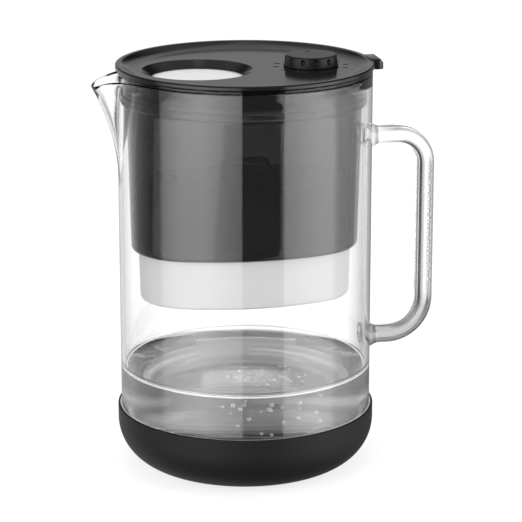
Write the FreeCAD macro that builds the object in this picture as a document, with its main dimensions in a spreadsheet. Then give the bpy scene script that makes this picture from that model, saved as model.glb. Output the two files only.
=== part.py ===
"""Glass water filter pitcher: jug, hopper, filter cartridge, lid, fill flap and dial.

Millimetres. The origin is on the jug's axis at the surface that it stands on, +Z up.
The spout points along -X and the handle along +X.
"""
import FreeCAD, Part
import Sketcher
import math
import os
from types import SimpleNamespace

DOCUMENT = FreeCAD.newDocument("filter_pitcher")
SHEET = DOCUMENT.addObject("Spreadsheet::Sheet", "Sizes")

# Driving dimensions in millimetres, degrees for angles, and counts.
DIMENSIONS = {
    # Jug
    "glass_radius": 72.0,
    "glass_wall": 2.5,
    "glass_floor": 4.0,
    "glass_corner": 24.5,
    "rim_level": 229.4,
    # Spout
    "spout_height": 64.4,
    "spout_ridge": 120.0,
    "spout_nose": 10.0,
    "spout_flank": 30.0,
    "spout_dip": 6.5,
    "spout_lip_run": 16.2,
    # Handle
    "handle_stand": 33.6,
    "handle_thick": 9.4,
    "handle_width": 12.0,
    "handle_round": 3.6,
    "handle_top_bend": 17.0,
    "handle_low_bend": 22.0,
    # Boot
    "boot_wall": 1.9,
    "boot_floor": 2.4,
    "boot_gap": 0.1,
    "boot_height": 35.0,
    "boot_round": 0.8,
    # Hopper
    "flange_thick": 1.8,
    "collar_gap": 0.6,
    "collar_wall": 2.4,
    "collar_depth": 16.9,
    "collar_step_depth": 9.4,
    "collar_step": 0.3,
    "seal_depth": 11.0,
    "seal_height": 5.0,
    "seal_groove": 0.9,
    "seal_gap": 0.3,
    "hopper_depth": 101.4,
    "hopper_wall": 2.2,
    "hopper_floor": 2.4,
    "hopper_bevel": 1.5,
    "hopper_top_inset": 2.5,
    "hopper_low_inset": 4.2,
    # Filter cartridge
    "cup_depth": 30.8,
    "cup_inset": 4.95,
    "cup_spread": 0.8,
    "cup_wall": 1.8,
    "cup_floor": 2.0,
    "cup_bevel": 1.5,
    "cup_gap": 0.5,
    "cup_flange": 1.8,
    "cup_flange_reach": 1.6,
    "gasket_thick": 2.0,
    "gasket_fit": 0.1,
    "housing_inset": 1.4,
    "housing_height": 30.0,
    "cap_thick": 3.0,
    "slot_width": 3.0,
    "slot_count": 9,
    "loop_half_span": 15.0,
    "loop_rise": 12.0,
    "loop_thick": 3.0,
    "loop_width": 7.0,
    "media_gap": 0.4,
    "screen_thick": 1.2,
    "resin_depth": 27.0,
    "divider_thick": 1.5,
    # Lid
    "lid_overhang": 0.9,
    "lid_crest": 2.8,
    "lid_crest_width": 3.0,
    "lid_crest_round": 0.9,
    "lid_parting": 0.5,
    "dish_depth": 3.3,
    "dish_width": 10.0,
    "plate_thick": 2.4,
    "skirt_gap": 0.6,
    "skirt_wall": 2.4,
    "skirt_depth": 9.0,
    "lid_seal_height": 2.4,
    "lid_seal_drop": 3.2,
    "lid_seal_groove": 1.0,
    "tab_width": 17.0,
    "tab_reach": 5.8,
    "tab_rise": 0.5,
    "tab_slope_run": 2.1,
    "tab_slope_drop": 2.7,
    "tab_drop": 5.9,
    "tab_lip": 5.5,
    "tab_corner": 3.0,
    "tick_gap": 3.1,
    "tick_length": 3.2,
    "tick_width": 0.8,
    "tick_rise": 0.2,
    # Fill hole and flap
    "hole_margin": 1.4,
    "hole_slope": 6.0,
    "hole_depth": 4.3,
    "hole_rim": 3.0,
    "hole_land": 0.6,
    "flap_gap": 0.3,
    "flap_overlap": 2.0,
    "flap_thick": 1.6,
    "flap_crown": 0.6,
    "flap_seal_thick": 0.8,
    "flap_seal_width": 1.6,
    "hinge_clear": 3.2,
    "hinge_drop": 3.2,
    "pin_radius": 1.25,
    "pin_play": 0.06,
    "knuckle_wall": 1.55,
    "knuckle_outer": 9.0,
    "knuckle_inner": 4.4,
    "lug_gap": 0.4,
    "lug_thick": 2.6,
    "lug_margin": 2.2,
    "spring_wire": 0.6,
    "spring_seat": 0.25,
    "spring_pitch": 1.0,
    "spring_turns": 5,
    "spring_tilt": 30.0,
    "spring_leg": 9.0,
    "spring_gap": 0.33,
    # Dial
    "dial_margin": 0.1,
    "dial_radius": 15.5,
    "dial_height": 6.5,
    "dial_gap": 0.2,
    "dial_base": 1.3,
    "dial_step": 0.5,
    "dial_draft": 0.5,
    "dial_round": 1.0,
    "notch_count": 12,
    "notch_radius": 1.1,
    "notch_top": 1.1,
    "notch_height": 3.4,
    "pointer_length": 4.0,
    "pointer_width": 1.0,
    "pointer_rise": 0.25,
    "pointer_margin": 1.6,
    "stem_radius": 4.0,
    "stem_play": 0.08,
    "stem_tail": 1.5,
    "ring_groove": 0.8,
    "ring_thick": 1.0,
    "ring_radius": 6.6,
    "washer_thick": 0.6,
    "washer_gap": 0.3,
    "washer_radius": 7.4,
    "o_ring_radius": 9.2,
    "o_ring_wire": 0.8,
    "o_ring_play": 0.1,
    # Cutting
    "overrun": 5.0,
}

# Heights of the spout's cross-sections, from its foot to the rim.
SPOUT_SECTION_SHARES = (0.1, 0.25, 0.4, 0.55, 0.7, 0.85, 1.0)
# Heights of the handle's arms, of the rim's height.
HANDLE_TOP_SHARE = 0.826
HANDLE_LOW_SHARE = 0.3065
# Half width and side radius of the hopper's ovals, of their half length.
HOPPER_TOP_WIDTH_SHARE = 0.776
HOPPER_TOP_SIDE_SHARE = 1.4925
HOPPER_LOW_WIDTH_SHARE = 0.6217
HOPPER_LOW_SIDE_SHARE = 1.99
# Length of the cartridge's slots, of its half width, and the span of their row, of its half length.
SLOT_LENGTH_SHARE = 1.01
SLOT_SPAN_SHARE = 1.3256
# Radius of the fill hole, of the lid's flat.
HOLE_SHARE = 0.52588
LEFT = 1
RIGHT = -1


class Size:
    """A length, angle or count: the expression that gives it in the sheet, and its value."""

    def __init__(self, text, value):
        self.text = text
        self.value = value

    def __add__(self, other):
        other = as_size(other)
        return Size(f"({self.text} + {other.text})", self.value + other.value)

    def __sub__(self, other):
        other = as_size(other)
        return Size(f"({self.text} - {other.text})", self.value - other.value)

    def __mul__(self, other):
        other = as_size(other)
        return Size(f"({self.text} * {other.text})", self.value * other.value)

    def __truediv__(self, other):
        other = as_size(other)
        return Size(f"({self.text} / {other.text})", self.value / other.value)

    def __neg__(self):
        return Size(f"(0 - {self.text})", -self.value)

    def __rmul__(self, other):
        return as_size(other) * self

    def __rsub__(self, other):
        return as_size(other) - self


def as_size(number):
    """A plain number as a Size."""
    if isinstance(number, Size):
        return number
    return Size(str(number), float(number))


def root(size):
    """The square root of a Size."""
    return Size(f"sqrt({size.text})", math.sqrt(size.value))


def cosine(angle):
    """The cosine of an angle in degrees."""
    return Size(f"cos({angle.text})", math.cos(math.radians(angle.value)))


def sine(angle):
    """The sine of an angle in degrees."""
    return Size(f"sin({angle.text})", math.sin(math.radians(angle.value)))


NIL = as_size(0)
FULL_TURN = as_size(360)


def fill_sheet():
    """Write the driving dimensions into the sheet and return them as Sizes."""
    named = SimpleNamespace()
    for row, (alias, value) in enumerate(DIMENSIONS.items(), start=1):
        SHEET.set(f"A{row}", alias)
        SHEET.set(f"B{row}", str(value))
        SHEET.setAlias(f"B{row}", alias)
        setattr(named, alias, Size(f"Sizes.{alias}", float(value)))
    DOCUMENT.recompute()
    return named


SIZE = fill_sheet()


class Oval:
    """A four-arc oval: half length, half width and the radius of its long sides."""

    def __init__(self, length, width, side):
        self.length = length
        self.width = width
        self.side = side

    def grown(self, amount):
        """The oval offset outwards by an amount."""
        return Oval(self.length + amount, self.width + amount, self.side + amount)

    def mixed(self, other, share):
        """The oval part of the way to another one."""
        return Oval(
            self.length + (other.length - self.length) * share,
            self.width + (other.width - self.width) * share,
            self.side + (other.side - self.side) * share,
        )

    def corners(self):
        """The four tangent points, each with the arc that leaves it."""
        spare = 2 * self.side * self.width - self.length * self.length - self.width * self.width
        end = spare / (2 * (self.side - self.length))
        across = self.side - self.width
        reach = self.side - end
        east = self.side * (self.length - end) / reach
        north = self.side * across / reach - across
        return [
            (east, -north, end, LEFT),
            (east, north, self.side, LEFT),
            (-east, north, end, LEFT),
            (-east, -north, self.side, LEFT),
        ]


def new_body(label):
    """An empty body for one sub-part."""
    body = DOCUMENT.addObject("PartDesign::Body", label)
    body.Label = label
    body.Placement = FreeCAD.Placement()
    return body


def new_sketch(body, role, east=NIL, north=NIL, lift=NIL):
    """A sketch on an origin plane of the body, moved along the plane's own axes."""
    sketch = body.newObject("Sketcher::SketchObject", f"{body.Label}_sketch")
    planes = [item for item in body.Origin.OriginFeatures if item.Role == role]
    sketch.AttachmentSupport = [(planes[0], "")]
    sketch.MapMode = "FlatFace"
    sketch.AttachmentOffset.Base = FreeCAD.Vector(east.value, north.value, lift.value)
    for letter, amount in (("x", east), ("y", north), ("z", lift)):
        sketch.setExpression(f"AttachmentOffset.Base.{letter}", amount.text)
    return sketch


def bind(sketch, constraint, size):
    """Add a dimension to a sketch and tie it to the sheet."""
    number = sketch.addConstraint(constraint)
    sketch.setExpression(f"Constraints[{number}]", size.text)


def pin_point(sketch, edge, spot, east, north):
    """Fix an edge's end, or a circle's centre, at a place measured from the sketch's origin."""
    for axis, kind, amount in ((-2, "DistanceX", east), (-1, "DistanceY", north)):
        if amount is NIL:
            sketch.addConstraint(Sketcher.Constraint("PointOnObject", edge, spot, axis))
        else:
            bind(sketch, Sketcher.Constraint(kind, -1, 1, edge, spot, amount.value), amount)


def arc_between(start, stop, radius, turn):
    """The smaller arc from start to stop that turns left or right."""
    chord = stop - start
    half = chord.Length / 2
    rise = math.sqrt(max(radius * radius - half * half, 0))
    side = FreeCAD.Vector(-chord.y, chord.x, 0)
    side.normalize()
    centre = (start + stop) / 2 + side * (rise * turn)
    first, last = (start, stop) if turn == LEFT else (stop, start)
    from_angle = math.atan2(first.y - centre.y, first.x - centre.x)
    to_angle = math.atan2(last.y - centre.y, last.x - centre.x)
    circle = Part.Circle(centre, FreeCAD.Vector(0, 0, 1), radius)
    return Part.ArcOfCircle(circle, from_angle, to_angle)


def draw(sketch, corners, closed=True):
    """Draw lines and arcs through corners. A corner (x, y, radius, turn) starts an arc."""
    spots = [FreeCAD.Vector(corner[0].value, corner[1].value, 0) for corner in corners]
    count = len(corners) if closed else len(corners) - 1
    ends = []
    for index in range(count):
        start = spots[index]
        stop = spots[(index + 1) % len(spots)]
        if len(corners[index]) == 2:
            edge = sketch.addGeometry(Part.LineSegment(start, stop))
            ends.append((edge, 1, 2))
            continue
        radius, turn = corners[index][2:]
        edge = sketch.addGeometry(arc_between(start, stop, radius.value, turn))
        ends.append((edge, 1, 2) if turn == LEFT else (edge, 2, 1))
        bind(sketch, Sketcher.Constraint("Radius", edge, radius.value), radius)
    for index in range(count):
        edge, first, last = ends[index]
        pin_point(sketch, edge, first, *corners[index][:2])
        if index + 1 < count or closed:
            following = ends[(index + 1) % count]
            sketch.addConstraint(Sketcher.Constraint("Coincident", edge, last, following[0], following[1]))
        else:
            pin_point(sketch, edge, last, *corners[-1][:2])
    return sketch


def draw_circle(sketch, radius, east=NIL, north=NIL):
    """Draw a circle round a place."""
    centre = FreeCAD.Vector(east.value, north.value, 0)
    edge = sketch.addGeometry(Part.Circle(centre, FreeCAD.Vector(0, 0, 1), radius.value))
    bind(sketch, Sketcher.Constraint("Radius", edge, radius.value), radius)
    if east is NIL and north is NIL:
        sketch.addConstraint(Sketcher.Constraint("Coincident", edge, 3, -1, 1))
    else:
        pin_point(sketch, edge, 3, east, north)
    return sketch


def box_corners(west, south, east, north):
    """The corners of a rectangle."""
    return [(west, south), (east, south), (east, north), (west, north)]


def rounded_corners(half_width, half_height, radius):
    """The corners of a rectangle with rounded corners, centred on the origin."""
    inner_width = half_width - radius
    inner_height = half_height - radius
    return [
        (-inner_width, -half_height),
        (inner_width, -half_height, radius, LEFT),
        (half_width, -inner_height),
        (half_width, inner_height, radius, LEFT),
        (inner_width, half_height),
        (-inner_width, half_height, radius, LEFT),
        (-half_width, inner_height),
        (-half_width, -inner_height, radius, LEFT),
    ]


def finish_cut(body, feature, volume):
    """Make sure that a cut has taken material away."""
    DOCUMENT.recompute()
    if not feature.Shape.Volume < volume:
        raise RuntimeError(f"{body.Label}: {feature.Label} cuts nothing")


def volume_so_far(body):
    """The body's volume before the next cut."""
    DOCUMENT.recompute()
    return body.Shape.Volume


def revolve(body, sketch):
    """Turn a sketch round its upright axis."""
    feature = body.newObject("PartDesign::Revolution", f"{body.Label}_revolution")
    feature.Profile = sketch
    feature.ReferenceAxis = (sketch, ["V_Axis"])
    return feature


def groove(body, sketch):
    """Cut away what a sketch sweeps round its upright axis."""
    volume = volume_so_far(body)
    feature = body.newObject("PartDesign::Groove", f"{body.Label}_groove")
    feature.Profile = sketch
    feature.ReferenceAxis = (sketch, ["V_Axis"])
    finish_cut(body, feature, volume)
    return feature


def pad(body, sketch, length, centred=False):
    """Extrude a sketch along its normal, or evenly to both sides."""
    feature = body.newObject("PartDesign::Pad", f"{body.Label}_pad")
    feature.Profile = sketch
    feature.SideType = "Symmetric" if centred else "One side"
    feature.setExpression("Length", length.text)
    return feature


def pocket(body, sketch, length, centred=False):
    """Cut a sketch away against its normal, or evenly to both sides."""
    volume = volume_so_far(body)
    feature = body.newObject("PartDesign::Pocket", f"{body.Label}_pocket")
    feature.Profile = sketch
    feature.SideType = "Symmetric" if centred else "One side"
    feature.setExpression("Length", length.text)
    finish_cut(body, feature, volume)
    return feature


def loft(body, sketches, ruled=True):
    """Add the solid through a stack of sketches."""
    feature = body.newObject("PartDesign::AdditiveLoft", f"{body.Label}_loft")
    feature.Profile = sketches[0]
    feature.Sections = sketches[1:]
    feature.Ruled = ruled
    return feature


def loft_cut(body, sketches, ruled=True):
    """Cut away the solid through a stack of sketches."""
    volume = volume_so_far(body)
    feature = body.newObject("PartDesign::SubtractiveLoft", f"{body.Label}_loft_cut")
    feature.Profile = sketches[0]
    feature.Sections = sketches[1:]
    feature.Ruled = ruled
    finish_cut(body, feature, volume)
    return feature


def repeat_round(body, feature, sketch, count):
    """Repeat a feature round the normal through a sketch's origin."""
    DOCUMENT.recompute()
    pattern = body.newObject("PartDesign::PolarPattern", f"{body.Label}_pattern")
    pattern.Originals = [feature]
    pattern.Axis = (sketch, ["N_Axis"])
    pattern.setExpression("Occurrences", count.text)
    body.Tip = pattern
    DOCUMENT.recompute()
    return pattern


def repeat_along(body, feature, sketch, span, count):
    """Repeat a feature along a sketch's own sideways axis."""
    DOCUMENT.recompute()
    pattern = body.newObject("PartDesign::LinearPattern", f"{body.Label}_pattern")
    pattern.Originals = [feature]
    pattern.Direction = (sketch, ["H_Axis"])
    pattern.setExpression("Length", span.text)
    pattern.setExpression("Occurrences", count.text)
    body.Tip = pattern
    DOCUMENT.recompute()
    return pattern


def turned_ring(label, inner, outer, low, high, east=NIL):
    """A plain ring of rectangular section round an upright axis."""
    body = new_body(label)
    revolve(body, draw(new_sketch(body, "XZ_Plane", east), box_corners(inner, low, outer, high)))
    return body


def oval_slab(label, oval, low, high):
    """A plain oval slab."""
    body = new_body(label)
    pad(body, draw(new_sketch(body, "XY_Plane", lift=low), oval.corners()), high - low)
    return body


def oval_ring(label, outer, inner, low, high):
    """A plain oval ring."""
    body = new_body(label)
    sketch = draw(new_sketch(body, "XY_Plane", lift=low), outer.corners())
    pad(body, draw(sketch, inner.corners()), high - low)
    return body


# Levels and radii that several sub-parts share
GLASS_BASE = SIZE.boot_floor + SIZE.boot_gap
GLASS_INSIDE = SIZE.glass_radius - SIZE.glass_wall
GLASS_FLOOR_TOP = GLASS_BASE + SIZE.glass_floor
SPOUT_FOOT = SIZE.rim_level - SIZE.spout_height
HANDLE_EAST = SIZE.glass_radius + SIZE.handle_stand
HANDLE_TOP = HANDLE_TOP_SHARE * SIZE.rim_level
HANDLE_LOW = HANDLE_LOW_SHARE * SIZE.rim_level
FLANGE_TOP = SIZE.rim_level + SIZE.flange_thick
COLLAR_OUTSIDE = GLASS_INSIDE - SIZE.collar_gap
COLLAR_INSIDE = COLLAR_OUTSIDE - SIZE.collar_wall
COLLAR_LOW = SIZE.rim_level - SIZE.collar_depth
LEDGE_TOP = COLLAR_LOW + SIZE.hopper_wall
HOPPER_LEVEL = SIZE.rim_level - SIZE.hopper_depth
HOPPER_FLOOR_TOP = HOPPER_LEVEL + SIZE.hopper_floor
SEAL_TOP = SIZE.rim_level - SIZE.seal_depth
SEAL_LOW = SEAL_TOP - SIZE.seal_height
SEAL_SEAT = COLLAR_OUTSIDE - SIZE.collar_step - SIZE.seal_groove
GASKET_TOP = HOPPER_FLOOR_TOP + SIZE.gasket_thick
CUP_TOP = GASKET_TOP + SIZE.cup_flange
FILTER_LEVEL = HOPPER_FLOOR_TOP - SIZE.cup_depth
CUP_FLOOR_TOP = FILTER_LEVEL + SIZE.cup_floor
HOUSING_TOP = CUP_TOP + SIZE.housing_height
CAP_TOP = HOUSING_TOP + SIZE.cap_thick
LID_CREST = FLANGE_TOP + SIZE.lid_crest
LID_FLAT = LID_CREST - SIZE.dish_depth
LID_UNDER = LID_FLAT - SIZE.plate_thick
LID_RADIUS = SIZE.glass_radius + SIZE.lid_overhang
LID_CREST_INSIDE = LID_RADIUS - SIZE.lid_crest_width
LID_FLAT_RADIUS = LID_CREST_INSIDE - SIZE.dish_width
SKIRT_OUTSIDE = COLLAR_INSIDE - SIZE.skirt_gap
SKIRT_LOW = LID_UNDER - SIZE.skirt_depth
LID_SEAL_TOP = LID_UNDER - SIZE.lid_seal_drop
LID_SEAL_LOW = LID_SEAL_TOP - SIZE.lid_seal_height
LID_SEAL_SEAT = SKIRT_OUTSIDE - SIZE.lid_seal_groove
HOLE_TOP_RADIUS = HOLE_SHARE * LID_FLAT_RADIUS
HOLE_LOW_RADIUS = HOLE_TOP_RADIUS - SIZE.hole_slope
HOLE_EAST = HOLE_TOP_RADIUS + SIZE.hole_margin - LID_FLAT_RADIUS
HOLE_LOW = LID_FLAT - SIZE.hole_depth
FLAP_RADIUS = HOLE_LOW_RADIUS + SIZE.flap_overlap
FLAP_FLANGE_TOP = HOLE_LOW - SIZE.flap_gap - SIZE.flap_seal_thick
FLAP_LOW = FLAP_FLANGE_TOP - SIZE.flap_thick
FLAP_SEAL_INSIDE = FLAP_RADIUS - SIZE.flap_seal_width
HINGE_EAST = HOLE_EAST + FLAP_RADIUS + SIZE.hinge_clear
HINGE_LEVEL = LID_UNDER - SIZE.hinge_drop
KNUCKLE_RADIUS = SIZE.pin_radius + SIZE.knuckle_wall
LUG_INNER = SIZE.knuckle_outer + SIZE.lug_gap
LUG_OUTER = LUG_INNER + SIZE.lug_thick
SPRING_RADIUS = HINGE_LEVEL - FLAP_LOW + SIZE.spring_wire / 2 + SIZE.spring_seat
TICK_INNER = SIZE.dial_radius + SIZE.tick_gap
TICK_OUTER = TICK_INNER + SIZE.tick_length
DIAL_EAST = LID_FLAT_RADIUS - TICK_OUTER - SIZE.dial_margin
DIAL_LOW = LID_FLAT + SIZE.dial_gap
DIAL_TOP = DIAL_LOW + SIZE.dial_height
WASHER_TOP = LID_UNDER - SIZE.washer_gap
RING_TOP = WASHER_TOP - SIZE.washer_thick
RING_LOW = RING_TOP - SIZE.ring_thick
STEM_LOW = RING_LOW - SIZE.stem_tail
STEM_WAIST = SIZE.stem_radius - SIZE.ring_groove



def hopper_end_oval(inset, width_share, side_share):
    """An oval whose ends stand in from the glass, with its sides in proportion."""
    length = GLASS_INSIDE - inset
    return Oval(length, width_share * length, side_share * length)


HOPPER_TOP_OVAL = hopper_end_oval(
    SIZE.hopper_top_inset, HOPPER_TOP_WIDTH_SHARE, HOPPER_TOP_SIDE_SHARE)
HOPPER_LOW_OVAL = hopper_end_oval(
    SIZE.hopper_low_inset, HOPPER_LOW_WIDTH_SHARE, HOPPER_LOW_SIDE_SHARE)
CUP_LOW_OVAL = HOPPER_LOW_OVAL.grown(-SIZE.cup_inset)
CUP_TOP_OVAL = CUP_LOW_OVAL.grown(SIZE.cup_spread)
CUP_INSIDE_OVAL = CUP_LOW_OVAL.grown(-SIZE.cup_wall)
CUP_FLANGE_OVAL = CUP_TOP_OVAL.grown(SIZE.cup_flange_reach)
HOUSING_OVAL = CUP_TOP_OVAL.grown(-SIZE.housing_inset)
HOUSING_INSIDE_OVAL = HOUSING_OVAL.grown(-SIZE.cup_wall)
MEDIA_OVAL = HOUSING_INSIDE_OVAL.grown(-SIZE.media_gap)


def spout_reach(rise):
    """How far the spout's ridge stands from the jug's axis, at a height above its foot."""
    ridge = SIZE.spout_ridge
    return SIZE.glass_radius + ridge - root(ridge * ridge - rise * rise)


def spout_level(share):
    """A height between the spout's foot and the rim."""
    return SPOUT_FOOT + share * SIZE.spout_height


def spout_section(share, inset):
    """One level of the jug's wall: nose, hollow flanks and the round back, set in by a wall."""
    nose_east = spout_reach(share * SIZE.spout_height) - SIZE.spout_nose
    flank_far = SIZE.glass_radius + SIZE.spout_flank
    span = SIZE.spout_nose + SIZE.spout_flank
    squares = nose_east * nose_east + flank_far * flank_far - span * span
    toward = squares / (2 * nose_east * flank_far)
    aside = root(1 - toward * toward)
    wall = SIZE.glass_radius - inset
    nose = SIZE.spout_nose - inset
    flank = SIZE.spout_flank + inset
    wall_east = wall * toward
    wall_north = wall * aside
    tip_east = nose_east + nose * (flank_far * toward - nose_east) / span
    tip_north = nose * flank_far * aside / span
    return [
        (-wall_east, wall_north, flank, RIGHT),
        (-tip_east, tip_north, nose, LEFT),
        (-tip_east, -tip_north, flank, RIGHT),
        (-wall_east, -wall_north, wall, LEFT),
        (wall, NIL, wall, LEFT),
    ]


def spout_stack(body, inset):
    """The sections of the jug's upper part, each on its own level."""
    sketches = []
    for share in SPOUT_SECTION_SHARES:
        sketch = new_sketch(body, "XY_Plane", lift=spout_level(share))
        sketches.append(draw(sketch, spout_section(share, inset)))
    return sketches


def make_glass_jug():
    """The blown glass jug with its pulled spout."""
    body = new_body("glass_jug")
    radius, corner, rim = SIZE.glass_radius, SIZE.glass_corner, SIZE.rim_level
    seam = spout_level(SPOUT_SECTION_SHARES[0])
    revolve(body, draw(new_sketch(body, "XZ_Plane"), [
        (NIL, GLASS_BASE),
        (radius - corner, GLASS_BASE, corner, LEFT),
        (radius, GLASS_BASE + corner),
        (radius, seam),
        (NIL, seam),
    ]))
    loft(body, spout_stack(body, NIL), ruled=False)
    inner_corner = corner - SIZE.glass_wall
    groove(body, draw(new_sketch(body, "XZ_Plane"), [
        (NIL, GLASS_FLOOR_TOP),
        (GLASS_INSIDE - inner_corner, GLASS_FLOOR_TOP, inner_corner, LEFT),
        (GLASS_INSIDE, GLASS_FLOOR_TOP + inner_corner),
        (GLASS_INSIDE, seam),
        (NIL, seam),
    ]))
    loft_cut(body, spout_stack(body, SIZE.glass_wall), ruled=False)
    tip = spout_reach(SIZE.spout_height - SIZE.spout_dip)
    run = SIZE.spout_lip_run
    cut = draw(new_sketch(body, "XZ_Plane"), [
        (run - tip, rim),
        (run - tip, rim + SIZE.overrun),
        (-run - tip, rim + SIZE.overrun),
        (-run - tip, rim - 2 * SIZE.spout_dip),
    ])
    pocket(body, cut, 2 * radius, centred=True)
    return body


def make_glass_handle():
    """The solid glass handle, cut to the jug's wall at both ends."""
    body = new_body("glass_handle")
    east, top, bottom = HANDLE_EAST, HANDLE_TOP, HANDLE_LOW
    upper, lower = SIZE.handle_top_bend, SIZE.handle_low_bend
    path = draw(new_sketch(body, "XZ_Plane"), [
        (GLASS_INSIDE, top),
        (east - upper, top, upper, RIGHT),
        (east, top - upper),
        (east, bottom + lower, lower, RIGHT),
        (east - lower, bottom),
        (GLASS_INSIDE, bottom),
    ], closed=False)
    section = draw(
        new_sketch(body, "YZ_Plane", north=top, lift=GLASS_INSIDE),
        rounded_corners(SIZE.handle_width / 2, SIZE.handle_thick / 2, SIZE.handle_round),
    )
    DOCUMENT.recompute()
    pipe = body.newObject("PartDesign::AdditivePipe", "glass_handle_pipe")
    pipe.Profile = section
    pipe.Spine = (path, [])
    clear_top = top + SIZE.handle_thick
    wall_cut = draw_circle(new_sketch(body, "XY_Plane", lift=clear_top), SIZE.glass_radius)
    pocket(body, wall_cut, clear_top - bottom + SIZE.handle_thick)
    return body


def make_silicone_boot():
    """The stretched silicone boot round the jug's foot."""
    body = new_body("silicone_boot")
    inside = SIZE.glass_radius + SIZE.boot_gap
    outside = inside + SIZE.boot_wall
    inner_corner = SIZE.glass_corner + SIZE.boot_gap
    outer_corner = inner_corner + SIZE.boot_wall
    height, lip = SIZE.boot_height, SIZE.boot_round
    revolve(body, draw(new_sketch(body, "XZ_Plane"), [
        (NIL, NIL),
        (outside - outer_corner, NIL, outer_corner, LEFT),
        (outside, outer_corner),
        (outside, height - lip, lip, LEFT),
        (outside - lip, height),
        (inside, height),
        (inside, SIZE.boot_floor + inner_corner, inner_corner, RIGHT),
        (inside - inner_corner, SIZE.boot_floor),
        (NIL, SIZE.boot_floor),
    ]))
    return body


def hopper_oval(level):
    """The hopper's outside oval at a level between its bevel and its collar."""
    foot = HOPPER_LEVEL + SIZE.hopper_bevel
    return HOPPER_LOW_OVAL.mixed(HOPPER_TOP_OVAL, (level - foot) / (LEDGE_TOP - foot))


def make_hopper_shell():
    """The smoke-tinted hopper: flange, round collar, oval well and filter socket."""
    body = new_body("hopper_shell")
    bevel, wall = SIZE.hopper_bevel, SIZE.hopper_wall
    loft(body, [
        draw(new_sketch(body, "XY_Plane", lift=level), oval.corners())
        for level, oval in (
            (HOPPER_LEVEL, HOPPER_LOW_OVAL.grown(-bevel)),
            (HOPPER_LEVEL + bevel, HOPPER_LOW_OVAL),
            (LEDGE_TOP, HOPPER_TOP_OVAL),
        )
    ])
    lower = COLLAR_OUTSIDE - SIZE.collar_step
    step = SIZE.rim_level - SIZE.collar_step_depth
    revolve(body, draw(new_sketch(body, "XZ_Plane"), [
        (NIL, COLLAR_LOW),
        (lower, COLLAR_LOW),
        (lower, step),
        (COLLAR_OUTSIDE, step),
        (COLLAR_OUTSIDE, SIZE.rim_level),
        (SIZE.glass_radius, SIZE.rim_level),
        (SIZE.glass_radius, FLANGE_TOP),
        (NIL, FLANGE_TOP),
    ]))
    groove(body, draw(
        new_sketch(body, "XZ_Plane"),
        box_corners(NIL, LEDGE_TOP, COLLAR_INSIDE, FLANGE_TOP + SIZE.overrun),
    ))
    loft_cut(body, [
        draw(new_sketch(body, "XY_Plane", lift=level), hopper_oval(level).grown(-wall).corners())
        for level in (HOPPER_FLOOR_TOP, LEDGE_TOP)
    ])
    socket = CUP_TOP_OVAL.grown(SIZE.cup_gap)
    socket_sketch = new_sketch(body, "XY_Plane", lift=HOPPER_FLOOR_TOP + SIZE.overrun)
    pocket(body, draw(socket_sketch, socket.corners()), SIZE.hopper_floor + 2 * SIZE.overrun)
    groove(body, draw(
        new_sketch(body, "XZ_Plane"),
        box_corners(SEAL_SEAT, SEAL_LOW, COLLAR_OUTSIDE + SIZE.overrun, SEAL_TOP),
    ))
    return body


def make_hopper_seal():
    """The two-lipped seal in the collar's groove."""
    body = new_body("hopper_seal_ring")
    waist = COLLAR_OUTSIDE - SIZE.collar_step
    lip = GLASS_INSIDE - SIZE.seal_gap
    lip_step = SIZE.seal_height / 6
    outline = [(SEAL_SEAT, SEAL_LOW)]
    for number, reach in enumerate((waist, lip, waist, waist, lip, waist)):
        rank = number + number // 3
        outline.append((reach, SEAL_LOW + lip_step * rank))
    outline.append((SEAL_SEAT, SEAL_TOP))
    revolve(body, draw(new_sketch(body, "XZ_Plane"), outline))
    return body


def cut_slots(body, top, depth):
    """A row of rounded slots through an oval floor or cap."""
    half_width, half_length = SIZE.slot_width / 2, SLOT_LENGTH_SHARE * CUP_LOW_OVAL.width / 2
    straight = half_length - half_width
    span = SLOT_SPAN_SHARE * CUP_LOW_OVAL.length
    sketch = new_sketch(body, "XY_Plane", east=-span / 2, lift=top + SIZE.overrun)
    draw(sketch, [
        (half_width, -straight),
        (half_width, straight, half_width, LEFT),
        (NIL, half_length, half_width, LEFT),
        (-half_width, straight),
        (-half_width, -straight, half_width, LEFT),
        (NIL, -half_length, half_width, LEFT),
    ])
    slot = pocket(body, sketch, depth + 2 * SIZE.overrun)
    repeat_along(body, slot, sketch, span, SIZE.slot_count)


def make_filter_cup():
    """The cartridge's white lower cup with its seat flange and outlet slots."""
    body = new_body("filter_cup")
    bevel = SIZE.cup_bevel
    loft(body, [
        draw(new_sketch(body, "XY_Plane", lift=level), oval.corners())
        for level, oval in (
            (FILTER_LEVEL, CUP_LOW_OVAL.grown(-bevel)),
            (FILTER_LEVEL + bevel, CUP_LOW_OVAL),
            (GASKET_TOP, CUP_TOP_OVAL),
        )
    ])
    flange_sketch = draw(new_sketch(body, "XY_Plane", lift=GASKET_TOP), CUP_FLANGE_OVAL.corners())
    pad(body, flange_sketch, SIZE.cup_flange)
    hollow = draw(new_sketch(body, "XY_Plane", lift=CUP_TOP), CUP_INSIDE_OVAL.corners())
    pocket(body, hollow, CUP_TOP - CUP_FLOOR_TOP)
    cut_slots(body, CUP_FLOOR_TOP, SIZE.cup_floor)
    return body


def make_filter_cap():
    """The cartridge's cap with its inlet slots."""
    body = oval_slab("filter_cap", HOUSING_OVAL, HOUSING_TOP, CAP_TOP)
    cut_slots(body, CAP_TOP, SIZE.cap_thick)
    return body


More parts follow.
